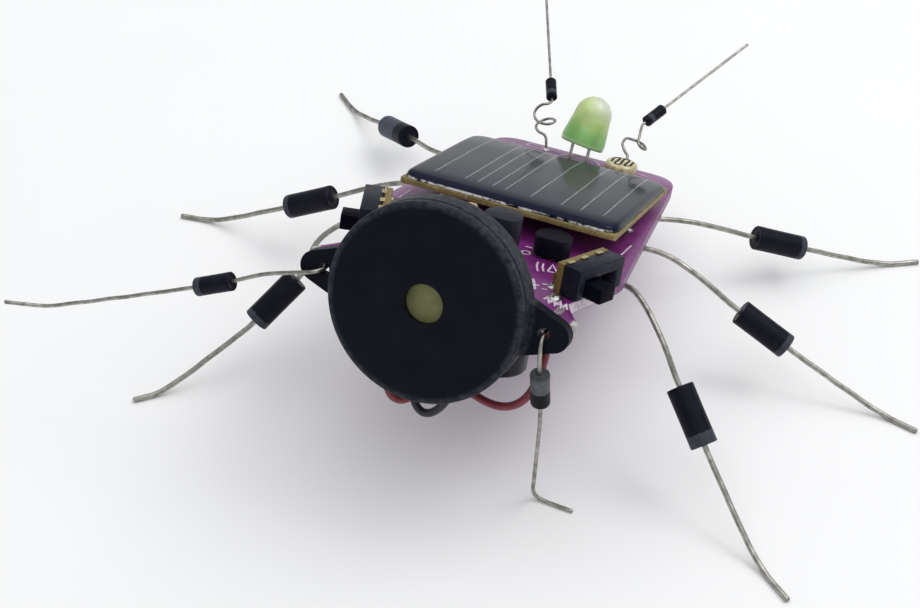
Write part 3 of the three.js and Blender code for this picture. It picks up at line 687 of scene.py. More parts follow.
FINGERS = (0.12, 0.26, 0.32, 0.39, 0.45, 0.57, 0.71, 0.8, 0.9)  # as shares of the panel's width
PANEL_WIDTH = 28.8
PANEL_LENGTH = 27.0
PANEL_BASE = 0.7  # thickness of the board under the resin


def finish_resin():
    """Clear resin over dark cells with thin pale metal fingers, which stop short of the front edge. The cells are
    painted darker towards the front as painted shade, and white painted glints run along the front joint.
    """
    f = Finish("cell_resin", Coat_Weight=0.13, Coat_Roughness=0.04, Coat_IOR=1.52, Specular_IOR_Level=0.03)
    x, y, z = f.local(PANEL)
    crystal = f.cells(3.2)
    cloud = f.noise(7.0, 4)
    cells = f.mix(f.spread(cloud), (0.036, 0.039, 0.048), (0.052, 0.056, 0.064))
    cells = f.mix(f.spread(crystal, 0.2, 0.9, 0.0, 0.35), cells, (0.06, 0.064, 0.072))
    # painted shade: the cells darken towards the front edge
    depth = f.spread(y, 0.5, 13.0, 1.0, 0.0)
    cells = f.mix(depth, cells, (0.008, 0.01, 0.026))
    lines = 0.0
    wobble = f.spread(f.noise(3.0, 2), 0.3, 0.7, -0.04, 0.04)
    shifted = f.plus(x, wobble)
    for share in FINGERS:
        centre = (share - 0.5) * PANEL_WIDTH
        lines = f.math("MAXIMUM", lines, f.band(shifted, centre - 0.07, centre + 0.07, 0.05))
    reach = f.band(f.plus(y, f.times(f.noise(9.0, 1), 2.0)), 4.3, PANEL_LENGTH + 0.2, 0.4)
    ink = f.times(f.times(lines, reach), f.spread(f.noise(1.2, 4), 0.25, 0.7, 0.45, 1.0))
    cells = f.mix(ink, cells, (0.34, 0.34, 0.35))
    # painted glints: broken white specks along the front of the joint between resin and base
    joint = f.band(z, PANEL_BASE - 0.05, PANEL_BASE + 0.32, 0.06)
    front = f.spread(y, 0.5, 0.9, 1.0, 0.0)
    broken = f.spread(f.noise(1.9, 4, 0.7), 0.45, 0.55)
    painted_glint = f.times(f.times(joint, front), broken)
    f.colour(f.mix(painted_glint, cells, (0.85, 0.86, 0.84)))
    f.rough(cloud, 0.3, 0.7, 0.14, 0.22)
    f.bump(f.noise(5.0, 2), 0.08, 0.1)
    return f.material


def finish_substrate():
    f = Finish("panel_substrate")
    speck = f.noise(0.28, 5, 0.7)
    base = f.clouds(2.0, 4, (0.15, 0.105, 0.028), (0.285, 0.215, 0.075))
    f.colour(f.mix(f.spread(speck, 0.56, 0.66), base, (0.5, 0.45, 0.3)))
    f.rough(speck, 0.3, 0.7, 0.45, 0.75)
    f.bump(speck, 0.5, 0.05)
    return f.material


def finish_foam():
    f = Finish("foam_tape", Roughness=0.95)
    cells = f.cells(0.25)
    f.colour(f.mix(f.spread(cells, 0.1, 0.6), (0.012, 0.012, 0.013), (0.035, 0.035, 0.037)))
    f.bump(cells, 0.9, 0.12)
    return f.material


def finish_led():
    """Tinted epoxy: yellow-green at the dome and a deeper green in the flange. The dome is painted lighter towards its
    top as painted light from above, and a near-white painted highlight sits on its upper right side.
    """
    f = Finish("green_epoxy", IOR=1.5, Transmission_Weight=0.35, Coat_Weight=0.6, Coat_Roughness=0.1)
    x, _, z = f.local(TAIL)
    swirl = f.spread(f.noise(2.6, 4), 0.3, 0.7, -0.6, 0.6)
    height = f.plus(z, swirl)
    rim = f.mix(f.spread(z, 0.1, 0.75), (0.6, 0.84, 0.44), (0.26, 0.62, 0.16))
    low = f.mix(f.spread(height, 1.2, 3.0), rim, (0.4, 0.7, 0.2))
    # painted light: the dome's upper part is a lighter yellow-green where light falls from above
    high = f.mix(f.spread(height, 3.0, 6.9), (0.54, 0.78, 0.22), (0.78, 0.92, 0.42))
    body = f.mix(f.spread(height, 2.2, 3.8), low, high)
    # painted highlight: a near-white patch on the dome's upper right side
    side = f.plus(x, f.times(z, 0.6))
    pale = f.times(f.spread(side, 2.6, 5.4), f.spread(z, 3.6, 6.4))
    f.colour(f.mix(f.times(pale, 0.85), body, (0.96, 0.97, 0.92)))
    f.rough(f.noise(0.7, 3), 0.3, 0.7, 0.3, 0.44)
    f.bump(f.noise(0.5, 2), 0.1, 0.03)
    return f.material


def finish_ceramic():
    f = Finish("ceramic")
    f.colour(f.mix(f.noise(1.0, 5), (0.55, 0.52, 0.44), (0.72, 0.7, 0.62)))
    f.bump(f.noise(0.3, 4), 0.3, 0.02)
    return f.material


def finish_bands(name, base, bands):
    """Lacquer with coloured bands, each given as (start, end, colour) along the body."""
    f = Finish(name, Coat_Weight=0.5, Coat_Roughness=0.2)
    u, _ = f.split_uv()
    u = f.plus(u, f.spread(f.noise(0.5, 3), 0.3, 0.7, -0.006, 0.006))
    colour = f.clouds(0.8, 4, base, tuple(c * 1.35 for c in base))
    for start, end, tint in bands:
        colour = f.mix(f.band(u, start, end, 0.006), colour, tint)
    f.colour(colour)
    f.rough(f.noise(0.5, 3), 0.3, 0.7, 0.32, 0.48)
    f.bump(f.noise(0.3, 3), 0.25, 0.02)
    return f.material


def finish_sleeve():
    """A black shrink sleeve with one pale stripe down its side."""
    f = Finish("capacitor_sleeve", Specular_IOR_Level=0.15, Coat_Weight=0.12, Coat_Roughness=0.2)
    _, v = f.split_uv()
    stripe = f.times(f.band(v, 0.05, 0.14, 0.004), f.spread(f.noise(0.4, 4), 0.28, 0.4, 0.5, 1.0))
    base = f.clouds(2.0, 4, (0.005, 0.0055, 0.009), (0.009, 0.01, 0.015))
    f.colour(f.mix(stripe, base, (0.2, 0.21, 0.23)))
    f.rough(f.noise(0.9, 3), 0.3, 0.7, 0.28, 0.4)
    f.bump(f.noise(0.9, 3), 0.2, 0.05)
    return f.material


# ---------- cords: the buzzer's two wires, close to the model's routes, in the board's frame ----------

WIRE_THICK = 1.0
EASE_ROUNDS = 20  # opens the tightest bend to about twice the wire's thickness
RED_EXIT = (-4.6, -4.6)  # holes in the buzzer's back cover, in the head's frame
BLACK_EXIT = (3.6, -3.6)
EXIT_DEPTH = -3.7
EXIT_RUN = 1.4
RED_ROUTE = (
    (-5.3, -23.4, -7.6), (-5.5, -23.0, -12.0), (-5.5, -22.9, -15.2), (-4.7, -22.7, -17.1),
    (-3.3, -22.2, -17.5), (-2.1, -21.4, -16.2), (-0.8, -20.7, -14.4), (1.8, -20.7, -13.4),
    (4.6, -21.7, -13.3), (7.8, -22.5, -13.8), (10.2, -22.8, -13.2), (12.1, -22.8, -11.2),
    (12.8, -22.3, -8.4), (12.7, -20.8, -5.2), (12.0, -18.6, -2.4), (12.0, -18.6, -0.6),
)
BLACK_ROUTE = (
    (3.8, -23.5, -7.4), (3.4, -23.4, -12.0), (2.0, -23.4, -15.9), (-0.1, -23.3, -17.6),
    (-2.0, -22.9, -15.6), (-3.0, -21.4, -9.8), (-3.4, -20.2, -5.4), (-3.4, -19.4, -2.6),
    (-3.4, -19.4, -0.6),
)


def make_cord(name, node, exit_hole, route, finish, slot):
    start = [HEAD @ Vector((*exit_hole, EXIT_DEPTH - run)) for run in (0, EXIT_RUN)]
    path = eased(smooth_path(start + [BOARD @ Vector(p) for p in route], 0.5 * MM), EASE_ROUNDS)
    bm = bmesh.new()
    add_tube(bm, path, WIRE_THICK / 2 * MM, sides=20, blunt=0.15)
    piece = add_piece(name, bm, 60, finish, slot, node)
    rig.cord(
        piece,
        exit=path[0],
        length=path_length(path),
        diameter=WIRE_THICK * MM,
        far_end="object",
        stiffness="limp",
        lay="hanging",
        path=path,
    )


# ---------- wires, legs and antennae ----------

RUN_ON = 0.25  # how far a wire runs on inside the body it enters
WIRE_STEP = 0.35
HAND_BEND = 0.035  # how far a leg's outer wire strays from its smooth curve
WAIST_STEPS = 12


def wire_piece(node, finish, enters, wobble=0.0):
    """A smooth round version of a CAD wire, run on into the neighbour that it enters."""
    centres, radius = rings_of(node)
    target = sum(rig.box(enters), Vector()) / 2
    near = (centres[0] - target).length < (centres[-1] - target).length
    end, before = (0, 1) if near else (-1, -2)
    centres[end] = centres[end] + (centres[end] - centres[before]).normalized() * RUN_ON * MM
    path = smooth_path(centres, WIRE_STEP * MM)
    if wobble:
        phase = random.uniform(0, 6.28)
        last = len(path) - 1
        for i, point in enumerate(path):
            fade = math.sin(math.pi * i / last)
            swing = math.sin(0.42 * i + phase) + 0.6 * math.sin(0.17 * i + 2 * phase)
            path[i] = point + Vector((0, 0, 1)) * swing * wobble * MM * fade
    bm = bmesh.new()
    add_tube(bm, path, radius)
    add_piece(f"{node}_round", bm, 60, finish, "tinned_wire", node)


def body_axis(node, towards):
    """Centre, unit axis, half length and radius of a turned CAD body; its axis points at a neighbour."""
    points = np.unique(np.round(vertices(node), 7), axis=0)
    centre = points.mean(0)
    _, _, rows = np.linalg.svd(points - centre)
    axis = Vector(rows[0])
    target = sum(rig.box(towards), Vector()) / 2
    if (target - Vector(centre)).dot(axis) < 0:
        axis = -axis
    along = (points - centre) @ np.array(axis)
    radius = np.linalg.norm(points - centre - np.outer(along, np.array(axis)), axis=1).max()
    middle = (along.max() + along.min()) / 2
    return Vector(centre) + axis * middle, axis, (along.max() - along.min()) / 2 / MM, radius / MM


def diode_piece(node, outer, finish):
    """A moulded diode: slightly rounded rims, a faint waist and a small collar where each wire enters."""
    centre, axis, half, radius = body_axis(node, outer)
    turn = axis.to_track_quat("Z", "X").to_matrix().to_4x4()
    place = Matrix.Translation(centre) @ turn @ Matrix.Scale(MM, 4)
    rim = radius * 0.1
    collar = [(radius * 0.3, half), (radius * 0.34, half - 0.05), (radius - rim * 1.3, half - 0.02)]
    profile = [(0, -half), *[(r, -z) for r, z in collar], *arc(radius - rim, -half + rim, rim, -90, 0, 4)]
    for i in range(1, WAIST_STEPS):
        z = -half + rim + (2 * half - 2 * rim) * i / WAIST_STEPS
        profile.append((radius * (1 - 0.012 * math.sin(math.pi * i / WAIST_STEPS)), z))
    profile += [*arc(radius - rim, half - rim, rim, 0, 90, 4), *collar[::-1], (0, half)]
    bm = bmesh.new()
    add_turned(bm, profile, place, sides=56, uv=bm.loops.layers.uv.new("UVMap"))
    add_piece(f"{node}_body", bm, 50, finish, "diode_body", node)


def make_limbs(tin):
    outer_band = finish_diode("diode_outer_band", (0.8, 2.0))
    thin_band = finish_diode("diode_thin_band", (0.88, 2.0))
    ink_black = ((0.0012, 0.0014, 0.0026), (0.0024, 0.0028, 0.0046))
    bands = {
        "right_front_leg": outer_band,
        "right_middle_leg": thin_band,
        "right_rear_leg": thin_band,
        "left_front_leg": thin_band,
        "left_middle_leg": thin_band,
        # painted sheen: the left rear diode is grey over most of its length where light catches it, not a printed band
        "left_rear_leg": finish_diode("diode_pale_body", (0.33, 2.0), (0.045, 0.05, 0.07)),
        # painted sheen: the right small diode's upper half is pale grey where light catches it, over a darker black
        # below
        "right_small_leg": finish_diode("diode_wide_band", (-1.0, 0.5), (0.07, 0.075, 0.082), ink_black),
        "left_small_leg": outer_band,
    }
    bands["right_antenna"] = bands["left_antenna"] = finish_diode("diode_antenna_band", (0.14, 0.34))
    for limb, band in bands.items():
        diode = f"{limb}_diode"
        diode_piece(diode, f"{limb}_outer_wire", band)
        wire_piece(f"{limb}_inner_wire", tin, diode)
        wire_piece(f"{limb}_outer_wire", tin, diode, 0.0 if "antenna" in limb else HAND_BEND)


# ---------- circuit board ----------

LARGEST_HOLE = 2  # a group of walls that reaches further out than this is the board's own edge


def hole_list():
    """Each drilled hole in the board, as (x, y, radius) in the board's frame."""
    bm = cad_copy("circuit_board")
    back = BOARD.inverted()
    for vertex in bm.verts:
        vertex.co = back @ vertex.co
    found = []
    for corners, middle in face_groups([f for f in bm.faces if abs(f.normal.z) < 0.5], lambda a, b: True):
        reach = max((v.co.xy - middle.xy).length for v in corners)
        if reach < LARGEST_HOLE:
            found.append((middle.x, middle.y, reach))
    bm.free()
    return sorted(found)


def make_board(solder, ink):
    holes = hole_list()

    def outline_edge(edge):
        middle = BOARD.inverted() @ ((edge.verts[0].co + edge.verts[1].co) / 2)
        return all(math.hypot(middle.x - x, middle.y - y) > r + 0.15 for x, y, r in holes)

    refined("circuit_board", "board", finish_board(), 0.13, "circuit_board", pick=outline_edge)
    make_pads(holes, solder)
    make_ink(ink)


def make_pads(holes, solder):
    """A ring of tin round each hole on both faces, and a fillet of solder up each wire."""
    bm = bmesh.new()
    for x, y, radius in holes:
        wire = radius - WIRE_CLEARANCE
        for face in (0, 1):
            turn = Matrix.Rotation(math.pi * face, 4, "X")
            place = BOARD @ Matrix.Translation((x, y, -BOARD_THICK * face)) @ turn
            rim = radius + 0.22 + random.uniform(-0.02, 0.03)
            tall = 0.32 + random.uniform(-0.05, 0.08)
            shoulder = rim - 0.05
            profile = [(0, -0.05), (rim, -0.05), (rim, 0.03), (shoulder, 0.06)]
            for share in [i / 6 for i in range(1, 7)]:
                profile.append((shoulder - (shoulder - wire - 0.03) * share, 0.06 + tall * share**2.4))
            profile.append((0, 0.06 + tall + 0.02))
            add_turned(bm, profile, place, sides=20)
    add_piece("solder_joints", bm, 45, solder, "tinned_wire")


INK_LIFT = 0.02
INK_WIDTH = 0.24
INK_THICK = 0.03


def ink_lines():
    """The board's printed outlines, dashes and dots: plain marks round the parts, in the board's frame."""
    lines = [
        [(6.9, -10.0), (7.2, -11.4), (7.8, -12.7)],
        [(7.6, -10.0), (7.9, -11.2), (8.4, -12.3)],
        [(8.8, -11.9), (8.6, -9.5), (10.0, -11.7), (8.8, -11.9)],
        [(4.0, -6.3), (5.3, -6.3), (6.8, -6.2)],
        [(4.4, -9.3), (4.4, -10.2), (5.0, -10.7)],
        arc(4.7, -8.2, 0.55, 0, 360, 10),
        [(7.2, -7.0), (7.6, -7.8), (8.2, -8.1), (8.8, -7.7), (9.1, -6.6)],
        [(7.9, -15.4), (8.5, -16.6), (9.1, -18.2)],
        [(8.1, -15.2), (8.7, -16.4), (9.3, -18.0)],
        [(8.6, -16.8), (9.3, -16.6)],
        [(9.5, -15.9), (10.1, -15.7)],
        [(9.9, -17.3), (10.5, -17.1)],
        arc(10.9, -15.5, 0.22, 0, 360, 8),
        arc(10.9, -15.5, 0.08, 0, 360, 8),
        [(-14.9, -2.3), (-14.8, 1.5)],
        [(14.7, -0.6), (14.9, 3.4)],
        [(-8.9, 31.0), (-5.8, 31.0), (-5.8, 32.0), (-8.9, 32.0), (-8.9, 31.0)],
        [(7.2, 31.0), (9.6, 31.0)],
        arc(-0.45, 28.9, 3.3, 25, 155, 14),
        arc(6.2, 28.0, 2.7, -60, 80, 14),
        [(-8.8, -9.4), (-8.8, -11.8), (0.4, -11.8), (0.4, -9.4), (-8.8, -9.4)],
        [(-12.4, -16.6), (-10.6, -17.4)],
        [(-12.0, -18.2), (-10.9, -18.7)],
    ]
    zigzag = [(11.0, -20.0), (11.2, -18.8), (11.8, -20.3), (12.0, -18.9), (12.6, -20.6), (12.8, -19.1)]
    zigzag += [(13.4, -20.8), (13.6, -19.4), (14.2, -21.0)]
    lines.append(zigzag)
    lines.append([(x + 0.1, y - 0.45) for x, y in zigzag[1:-1]])
    lines.append([(11.3, -19.7), (13.9, -20.4)])
    for i in range(5):
        lines.append([(-12.6 - 0.5 * i, -17.9 - 0.25 * i), (-12.4 - 0.5 * i, -18.8 - 0.25 * i)])
    return lines


def make_ink(ink):
    bm = bmesh.new()
    for line in ink_lines():
        path = [BOARD @ Vector((x, y, INK_LIFT)) for x, y in line]
        fine = []
        for a, b in zip(path, path[1:]):
            fine += [a, a.lerp(b, 0.5)]
        fine.append(path[-1])
        add_tube(bm, fine, INK_WIDTH / 2 * MM, sides=8, height=INK_THICK * MM, up=BOARD_UP, blunt=0)
    add_piece("board_marks", bm, 60, ink, "circuit_board")


# ---------- solar panel ----------

RESIN_EDGE = 0.1  # height of the resin's sharp edge, below its rolled rim
RESIN_RIM = 0.75


def rounded_rectangle(half_width, y0, y1, radius, steps=8, runs=16):
    """Its outline, with steps along each rounded corner and runs along each straight side."""
    turns = []
    for side, y, start in ((1, y0, -90), (1, y1, 0), (-1, y1, 90), (-1, y0, 180)):
        cy = y + radius if y == y0 else y - radius
        turns.append(arc(side * (half_width - radius), cy, radius, start, start + 90, steps))
    points = []
    for turn, after in zip(turns, turns[1:] + turns[:1]):
        points += turn
        (ax, ay), (bx, by) = turn[-1], after[0]
        points += [(ax + (bx - ax) * i / runs, ay + (by - ay) * i / runs) for i in range(1, runs)]
    return points


def crown_drop(x, y):
    """How far the resin's top is below its highest plane: it rolls off softly, most of all at the rear."""
    rear = max(0.0, (y - PANEL_LENGTH + 8) / 8)
    front = max(0.0, (4 - y) / 4)
    side = max(0.0, (abs(x) - PANEL_WIDTH / 2 + 4) / 4)
    return 0.4 * rear**2 + 0.13 * front**2 + 0.13 * side**2


def make_resin(finish):
    """The poured resin: a rounded sheet with a soft rim that thins towards its edges."""
    turn = PANEL.to_3x3().normalized()
    back = PANEL.inverted()
    base, top = (back @ (turn @ corner * MM) for corner in local_box("solar_cell_resin", turn))
    height = top.z - base.z
    stations = [(0.0, 0.0), (0.0, RESIN_EDGE)]
    for lean in [math.pi / 2 * i / 8 for i in range(1, 9)]:
        rise = (height - RESIN_EDGE) * math.sin(lean)
        stations.append((RESIN_RIM * (1 - math.cos(lean)), RESIN_EDGE + rise))
    stations += [(inset, height) for inset in (1.2, 1.8, 2.5, 3.3, 4.2, 5.2, 6.3, 7.5, 8.8, 10.2, 11.6)]
    bm = bmesh.new()
    loops = []
    for inset, z in stations:
        radius = max(0.35, 2.1 - inset * 0.6)
        loop = []
        for x, y in rounded_rectangle(top.x - inset, base.y + inset, top.y - inset, radius):
            lift = z - crown_drop(x, y) * z / height
            loop.append(bm.verts.new(PANEL @ Vector((x, y, base.z + lift))))
        loops.append(loop)
    add_skin(bm, loops)
    add_piece("panel_resin", bm, 60, finish, "cell_resin", "solar_cell_resin")


# ---------- buzzer ----------

CASE_RADIUS = 11.7
CASE_DEPTH = 4.3
CASE_WALL = 1.1
FACE_THICK = 1.0
SOUND_HOLE = 2.35
EAR_X = 13.5
EAR_DROP = 0.3  # how far the ears' holes are below the case's axis
EAR_TIP_X = 14.6
EAR_TIP_RADIUS = 1.85
EAR_TIP_TURN = 1.19  # half the angle that the rounded tip takes up, in radians
EAR_THICK = 1.6
EAR_ROOT_X = 9.5
EAR_ROOT_HALF = 4.0
EAR_HOLE = 0.75


def ear_mesh(side):
    """An ear with rounded edges that tapers from a straight root inside the case to a round tip."""
    lean = 0 if side > 0 else math.pi
    first, last = -side * EAR_ROOT_HALF - EAR_DROP, side * EAR_ROOT_HALF - EAR_DROP
    outline = [(side * (EAR_ROOT_X - 3), first), (side * EAR_ROOT_X, first)]
    for angle in [lean + EAR_TIP_TURN * (i / 9 - 1) for i in range(19)]:
        reach = EAR_TIP_RADIUS * math.cos(angle)
        outline.append((side * EAR_TIP_X + reach, EAR_TIP_RADIUS * math.sin(angle) - EAR_DROP))
    outline += [(side * EAR_ROOT_X, last), (side * (EAR_ROOT_X - 3), last)]
    bm = bmesh.new()
    levels = (-CASE_DEPTH, -CASE_DEPTH + EAR_THICK)
    top = add_skin(bm, [[bm.verts.new((x, y, z)) for x, y in outline] for z in levels])
    bmesh.ops.bevel(bm, geom=list(top.edges), offset=0.22, segments=3, affect="EDGES", profile=0.5)
    return bm


def combine(base, tools):
    """base with each (operation, tool) applied in turn; the tools are removed."""
    for operation, tool in tools:
        step = base.modifiers.new("step", "BOOLEAN")
        step.operation = operation
        step.solver = "EXACT"
        step.object = tool
        shown = bpy.context.evaluated_depsgraph_get()
        result = bpy.data.meshes.new_from_object(base.evaluated_get(shown))
        base.modifiers.clear()
        base.data = result
        bpy.data.objects.remove(tool)
    return base


def turned_tool(name, radius, low, high, x, y, sides):
    """A cylinder to cut with, in the head's frame."""
    bm = bmesh.new()
    place = Matrix.Translation((x, y, 0))
    add_turned(bm, [(0, low), (radius, low), (radius, high), (0, high)], place, sides)
    return linked(name, bm)


def make_case(finish):
    inner = CASE_RADIUS - CASE_WALL
    rim = 0.42
    profile = [(SOUND_HOLE, -FACE_THICK), (SOUND_HOLE, -0.12), (SOUND_HOLE + 0.12, 0)]
    profile += [(s * (CASE_RADIUS - rim) + (1 - s) * SOUND_HOLE, 0) for s in (0.3, 0.6, 0.9, 0.98)]
    profile += arc(CASE_RADIUS - rim, -rim, rim, 90, 0, 5)
    groove = ((0, -0.95), (0.08, -1.05), (0.3, -1.12), (0.3, -1.42), (0.08, -1.5), (0, -1.62))
    foot = ((0, 0.15 - CASE_DEPTH), (0.15, -CASE_DEPTH))
    profile += [(CASE_RADIUS - inset, z) for inset, z in groove + foot]
    profile += [(inner, -CASE_DEPTH), (inner, -FACE_THICK)]
    bm = bmesh.new()
    add_turned(bm, profile, Matrix.Identity(4), sides=160, closed=True)
    case = linked("buzzer_shell", bm)
    below = -CASE_DEPTH - 1
    tools = [("UNION", linked("ear", ear_mesh(side))) for side in (-1, 1)]
    tools.append(("DIFFERENCE", turned_tool("hollow", inner, below, -FACE_THICK - 0.3, 0, 0, 160)))
    for side in (-1, 1):
        drill = turned_tool("drill", EAR_HOLE, below, 1, side * EAR_X, -EAR_DROP, 32)
        tools.append(("DIFFERENCE", drill))
    case = combine(case, tools)
    case.data.transform(HEAD)
    finished(case, 32, finish, "buzzer_plastic", "buzzer_case")


# ---------- tail light and light sensor ----------

LED_HEIGHT = 7.3
LED_RADIUS = 2.65
LED_BASE = 3.2  # radius of the flange
TRACK_ROWS = 5


def make_led(finish, tin):
    """The lens flares softly into its flange; the lead frame's post and cup show inside."""
    dome = LED_HEIGHT - LED_RADIUS
    profile = [(0, 0), (LED_BASE - 0.45, 0), *arc(LED_BASE - 0.35, 0.35, 0.35, -90, 0, 4)]
    taper = ((0, 0.8), (0.03, 1.3), (0.14, 2.1), (0.28, 2.9), (0.4, 3.6), (0.5, 4.2))
    profile += [(LED_BASE - inset, z) for inset, z in taper]
    profile += arc(0, dome, LED_RADIUS, 0, 90, 12)
    bm = bmesh.new()
    add_turned(bm, profile, TAIL, sides=64)
    add_piece("led_lens_clear", bm, 60, finish, "green_epoxy", "led_lens")
    bm = bmesh.new()
    for x0, x1, z0, z1 in ((-1.75, -0.75, 0.5, 3.3), (-1.75, 0.15, 2.7, 3.9), (0.85, 1.55, 0.5, 3.6)):
        add_box(bm, TAIL, (x0, -0.22, z0), (x1, 0.22, z1), 0.06)
    cup = TAIL @ Matrix.Translation((-0.45, 0, 3.85))
    add_turned(bm, [(0, 0), (0.45, 0), (0.62, 0.5), (0.5, 0.5), (0.32, 0.15), (0, 0.15)], cup, sides=24)
    add_piece("led_lead_frame", bm, 40, tin, "tinned_wire")


def make_sensor(finish, dark):
    """A coated disc with a dark track that winds across it between two metal lands."""
    place, radius, thick = seat("light_sensor")
    profile = [(0, 0), (radius - 0.25, 0), *arc(radius - 0.25, 0.25, 0.25, -90, 0, 3)]
    profile += [*arc(radius - 0.45, thick - 0.45, 0.45, 0, 90, 4), (radius * 0.5, thick), (0, thick)]
    bm = bmesh.new()
    add_turned(bm, profile, place)
    add_piece("light_sensor_disc", bm, 50, finish, "sensor_ceramic", "light_sensor")
    reach = radius - 0.55
    track = []
    for i in range(TRACK_ROWS):
        x = -reach + 2 * reach * (i + 0.5) / TRACK_ROWS
        end = math.sqrt(max(reach**2 - x**2, 0.1)) * 0.85
        points = [(x, -end), (x, 0), (x, end)]
        track += points if i % 2 == 0 else points[::-1]
    path = smooth_path([place @ Vector((x, y, thick + 0.01)) for x, y in track], 0.15 * MM)
    bm = bmesh.new()
    add_tube(bm, path, 0.15 * MM, sides=8, height=0.05 * MM, up=BOARD_UP, blunt=0)
    add_piece("light_sensor_track", bm, 60, dark, "sensor_ceramic")


# ---------- slide switches ----------

SHELL_TOP = 3.8


def make_switch(name, shell, phenolic, knob, gold):
    place = switch_frame(name)
    switch = f"switch_{name}"
    refined(f"{switch}_housing", f"{switch}_shell", shell, 0.16, "switch_shell")
    refined(f"{switch}_contact_base", f"{switch}_base", phenolic, 0.08, "phenolic")
    refined(f"{switch}_slider", f"{switch}_knob", knob, 0.14, "switch_knob", SLIDER_BODY[name])
    bm = bmesh.new()
    for along in (-3.2, -0.6, 2.3):
        for x, z0, z1 in ((-0.02, -0.55, 0.1), (0.36, 0.02, 0.16)):
            low, high = (-0.28, along - 0.55, SHELL_TOP + z0), (x, along + 0.55, SHELL_TOP + z1)
            add_box(bm, place, low, high, 0.05)
    for along in (-3.0, 0.0, 3.0):
        for lift in (0.8, 2.6):
            rivet = place @ Matrix.Translation((-0.96, along, lift)) @ Matrix.Rotation(-math.pi / 2, 4, "Y")
            head = [(0, -0.1), (0.42, -0.1), (0.42, 0.05), (0.3, 0.2), (0, 0.24)]
            add_turned(bm, head, rivet, sides=20)
    add_piece(f"{switch}_tabs", bm, 40, gold, "brass")


# ---------- small parts ----------

CAN_HEIGHT = 8.6
RESISTOR_RADIUS = 1.0
RESISTOR_HALF = 2.7
LEAD_RADIUS = 0.25  # of the resistor's wires
RESISTOR_BANDS = (  # start and end along the body, and colour
    (0.1, 0.17, (0.02, 0.02, 0.02)),
    (0.3, 0.36, (0.28, 0.1, 0.02)),
    (0.46, 0.52, (0.2, 0.03, 0.01)),
    (0.64, 0.7, (0.09, 0.035, 0.012)),
    (0.83, 0.9, (0.5, 0.36, 0.1)),
)


def make_capacitor(sleeve, solder):
    """A can with a rolled neck near the board, and a pressed cross in its free end."""
    place, radius, _ = seat("storage_capacitor")
    profile = [(0, 0.12), (radius - 0.75, 0.12), (radius - 0.7, 0), *arc(radius - 0.4, 0.4, 0.4, -90, 0, 4)]
    neck = ((0, 2.1), (0.12, 1.85), (0.34, 1.6), (0.12, 1.35), (0, 1.1), (0.05, 0.25), (0.35, 0))
    profile += [(radius - inset, CAN_HEIGHT - drop) for inset, drop in neck]
    profile.append((0, CAN_HEIGHT))
    bm = bmesh.new()
    add_turned(bm, profile, place, sides=72, uv=bm.loops.layers.uv.new("UVMap"))
    add_piece("capacitor_can", bm, 35, sleeve, "capacitor_sleeve", "storage_capacitor")
    bm = bmesh.new()
    add_turned(bm, [(0, 0.05), (radius - 0.8, 0.05), (radius - 0.8, 0.2), (0, 0.2)], place)
    for turn in (0, math.pi / 2):
        bar = place @ Matrix.Rotation(turn, 4, "Z")
        add_box(bm, bar, (-1.7, -0.14, 0.0), (1.7, 0.14, 0.1), 0.03)
    root, tip = CAN_HEIGHT - 0.2, CAN_HEIGHT + 2.6
    for side in (-1, 1):
        pin = place @ Matrix.Translation((side * 1.75, 0, 0))
        add_turned(bm, [(0, root), (0.25, root), (0.25, tip), (0, tip + 0.1)], pin, sides=16)
    add_piece("capacitor_metal", bm, 35, solder, "tinned_wire")


def make_resistor(tin):
    back = BOARD.inverted()
    low, high = (back @ (BOARD_TURN @ corner * MM) for corner in local_box("resistor", BOARD_TURN))
    y = (low.y + high.y) / 2
    z = high.z - RESISTOR_RADIUS
    middle = (low.x + high.x) / 2
    place = BOARD @ Matrix.Translation((middle, y, z)) @ Matrix.Rotation(math.pi / 2, 4, "Y")
    half = RESISTOR_HALF
    profile = [(0, -half)]
    for t in [-half + 2 * half * i / 32 for i in range(33)]:
        edge = 1 - min(1, (half - abs(t)) / 0.45)
        bulge = 0.84 + 0.16 / (1 + math.exp(-(abs(t) - half / 2) * 7))
        profile.append((RESISTOR_RADIUS * bulge * math.sqrt(max(0.12, 1 - edge**2)), t))
    profile.append((0, half))
    bm = bmesh.new()
    add_turned(bm, profile, place, sides=40, uv=bm.loops.layers.uv.new("UVMap"))
    lacquer = finish_bands("resistor_lacquer", (0.36, 0.25, 0.12), RESISTOR_BANDS)
    add_piece("resistor_body", bm, 50, lacquer, "resistor_lacquer", "resistor")
    reach = (high.x - low.x) / 2 - LEAD_RADIUS
    bend = 0.8
    right = [(half - 0.2, z), (reach - bend, z), (reach - bend * 0.3, z - bend * 0.3)]
    right += [(reach, z - bend), (reach, z - bend * 2), (reach, low.z)]
    points = [(-x, h) for x, h in right[::-1]] + right
    path = smooth_path([BOARD @ Vector((middle + x, y, h)) for x, h in points], 0.3 * MM)
    bm = bmesh.new()
    add_tube(bm, path, LEAD_RADIUS * MM, sides=14)
    add_piece("resistor_wires", bm, 60, tin, "tinned_wire")


# ---------- lights and floor ----------

LIGHT_AIM = (0, 0, 0.015)  # in metres
FLOOR_REACH = 3.0  # in metres


def make_light(name, place, size, power):
    """Place and size are in metres."""
    data = bpy.data.lights.new(name, "AREA")
    data.shape = "RECTANGLE"
    data.size = data.size_y = size
    data.energy = power
    light = bpy.data.objects.new(name, data)
    bpy.context.scene.collection.objects.link(light)
    aim = Vector(LIGHT_AIM) - Vector(place)
    light.matrix_world = Matrix.Translation(place) @ aim.to_track_quat("-Z", "Y").to_matrix().to_4x4()


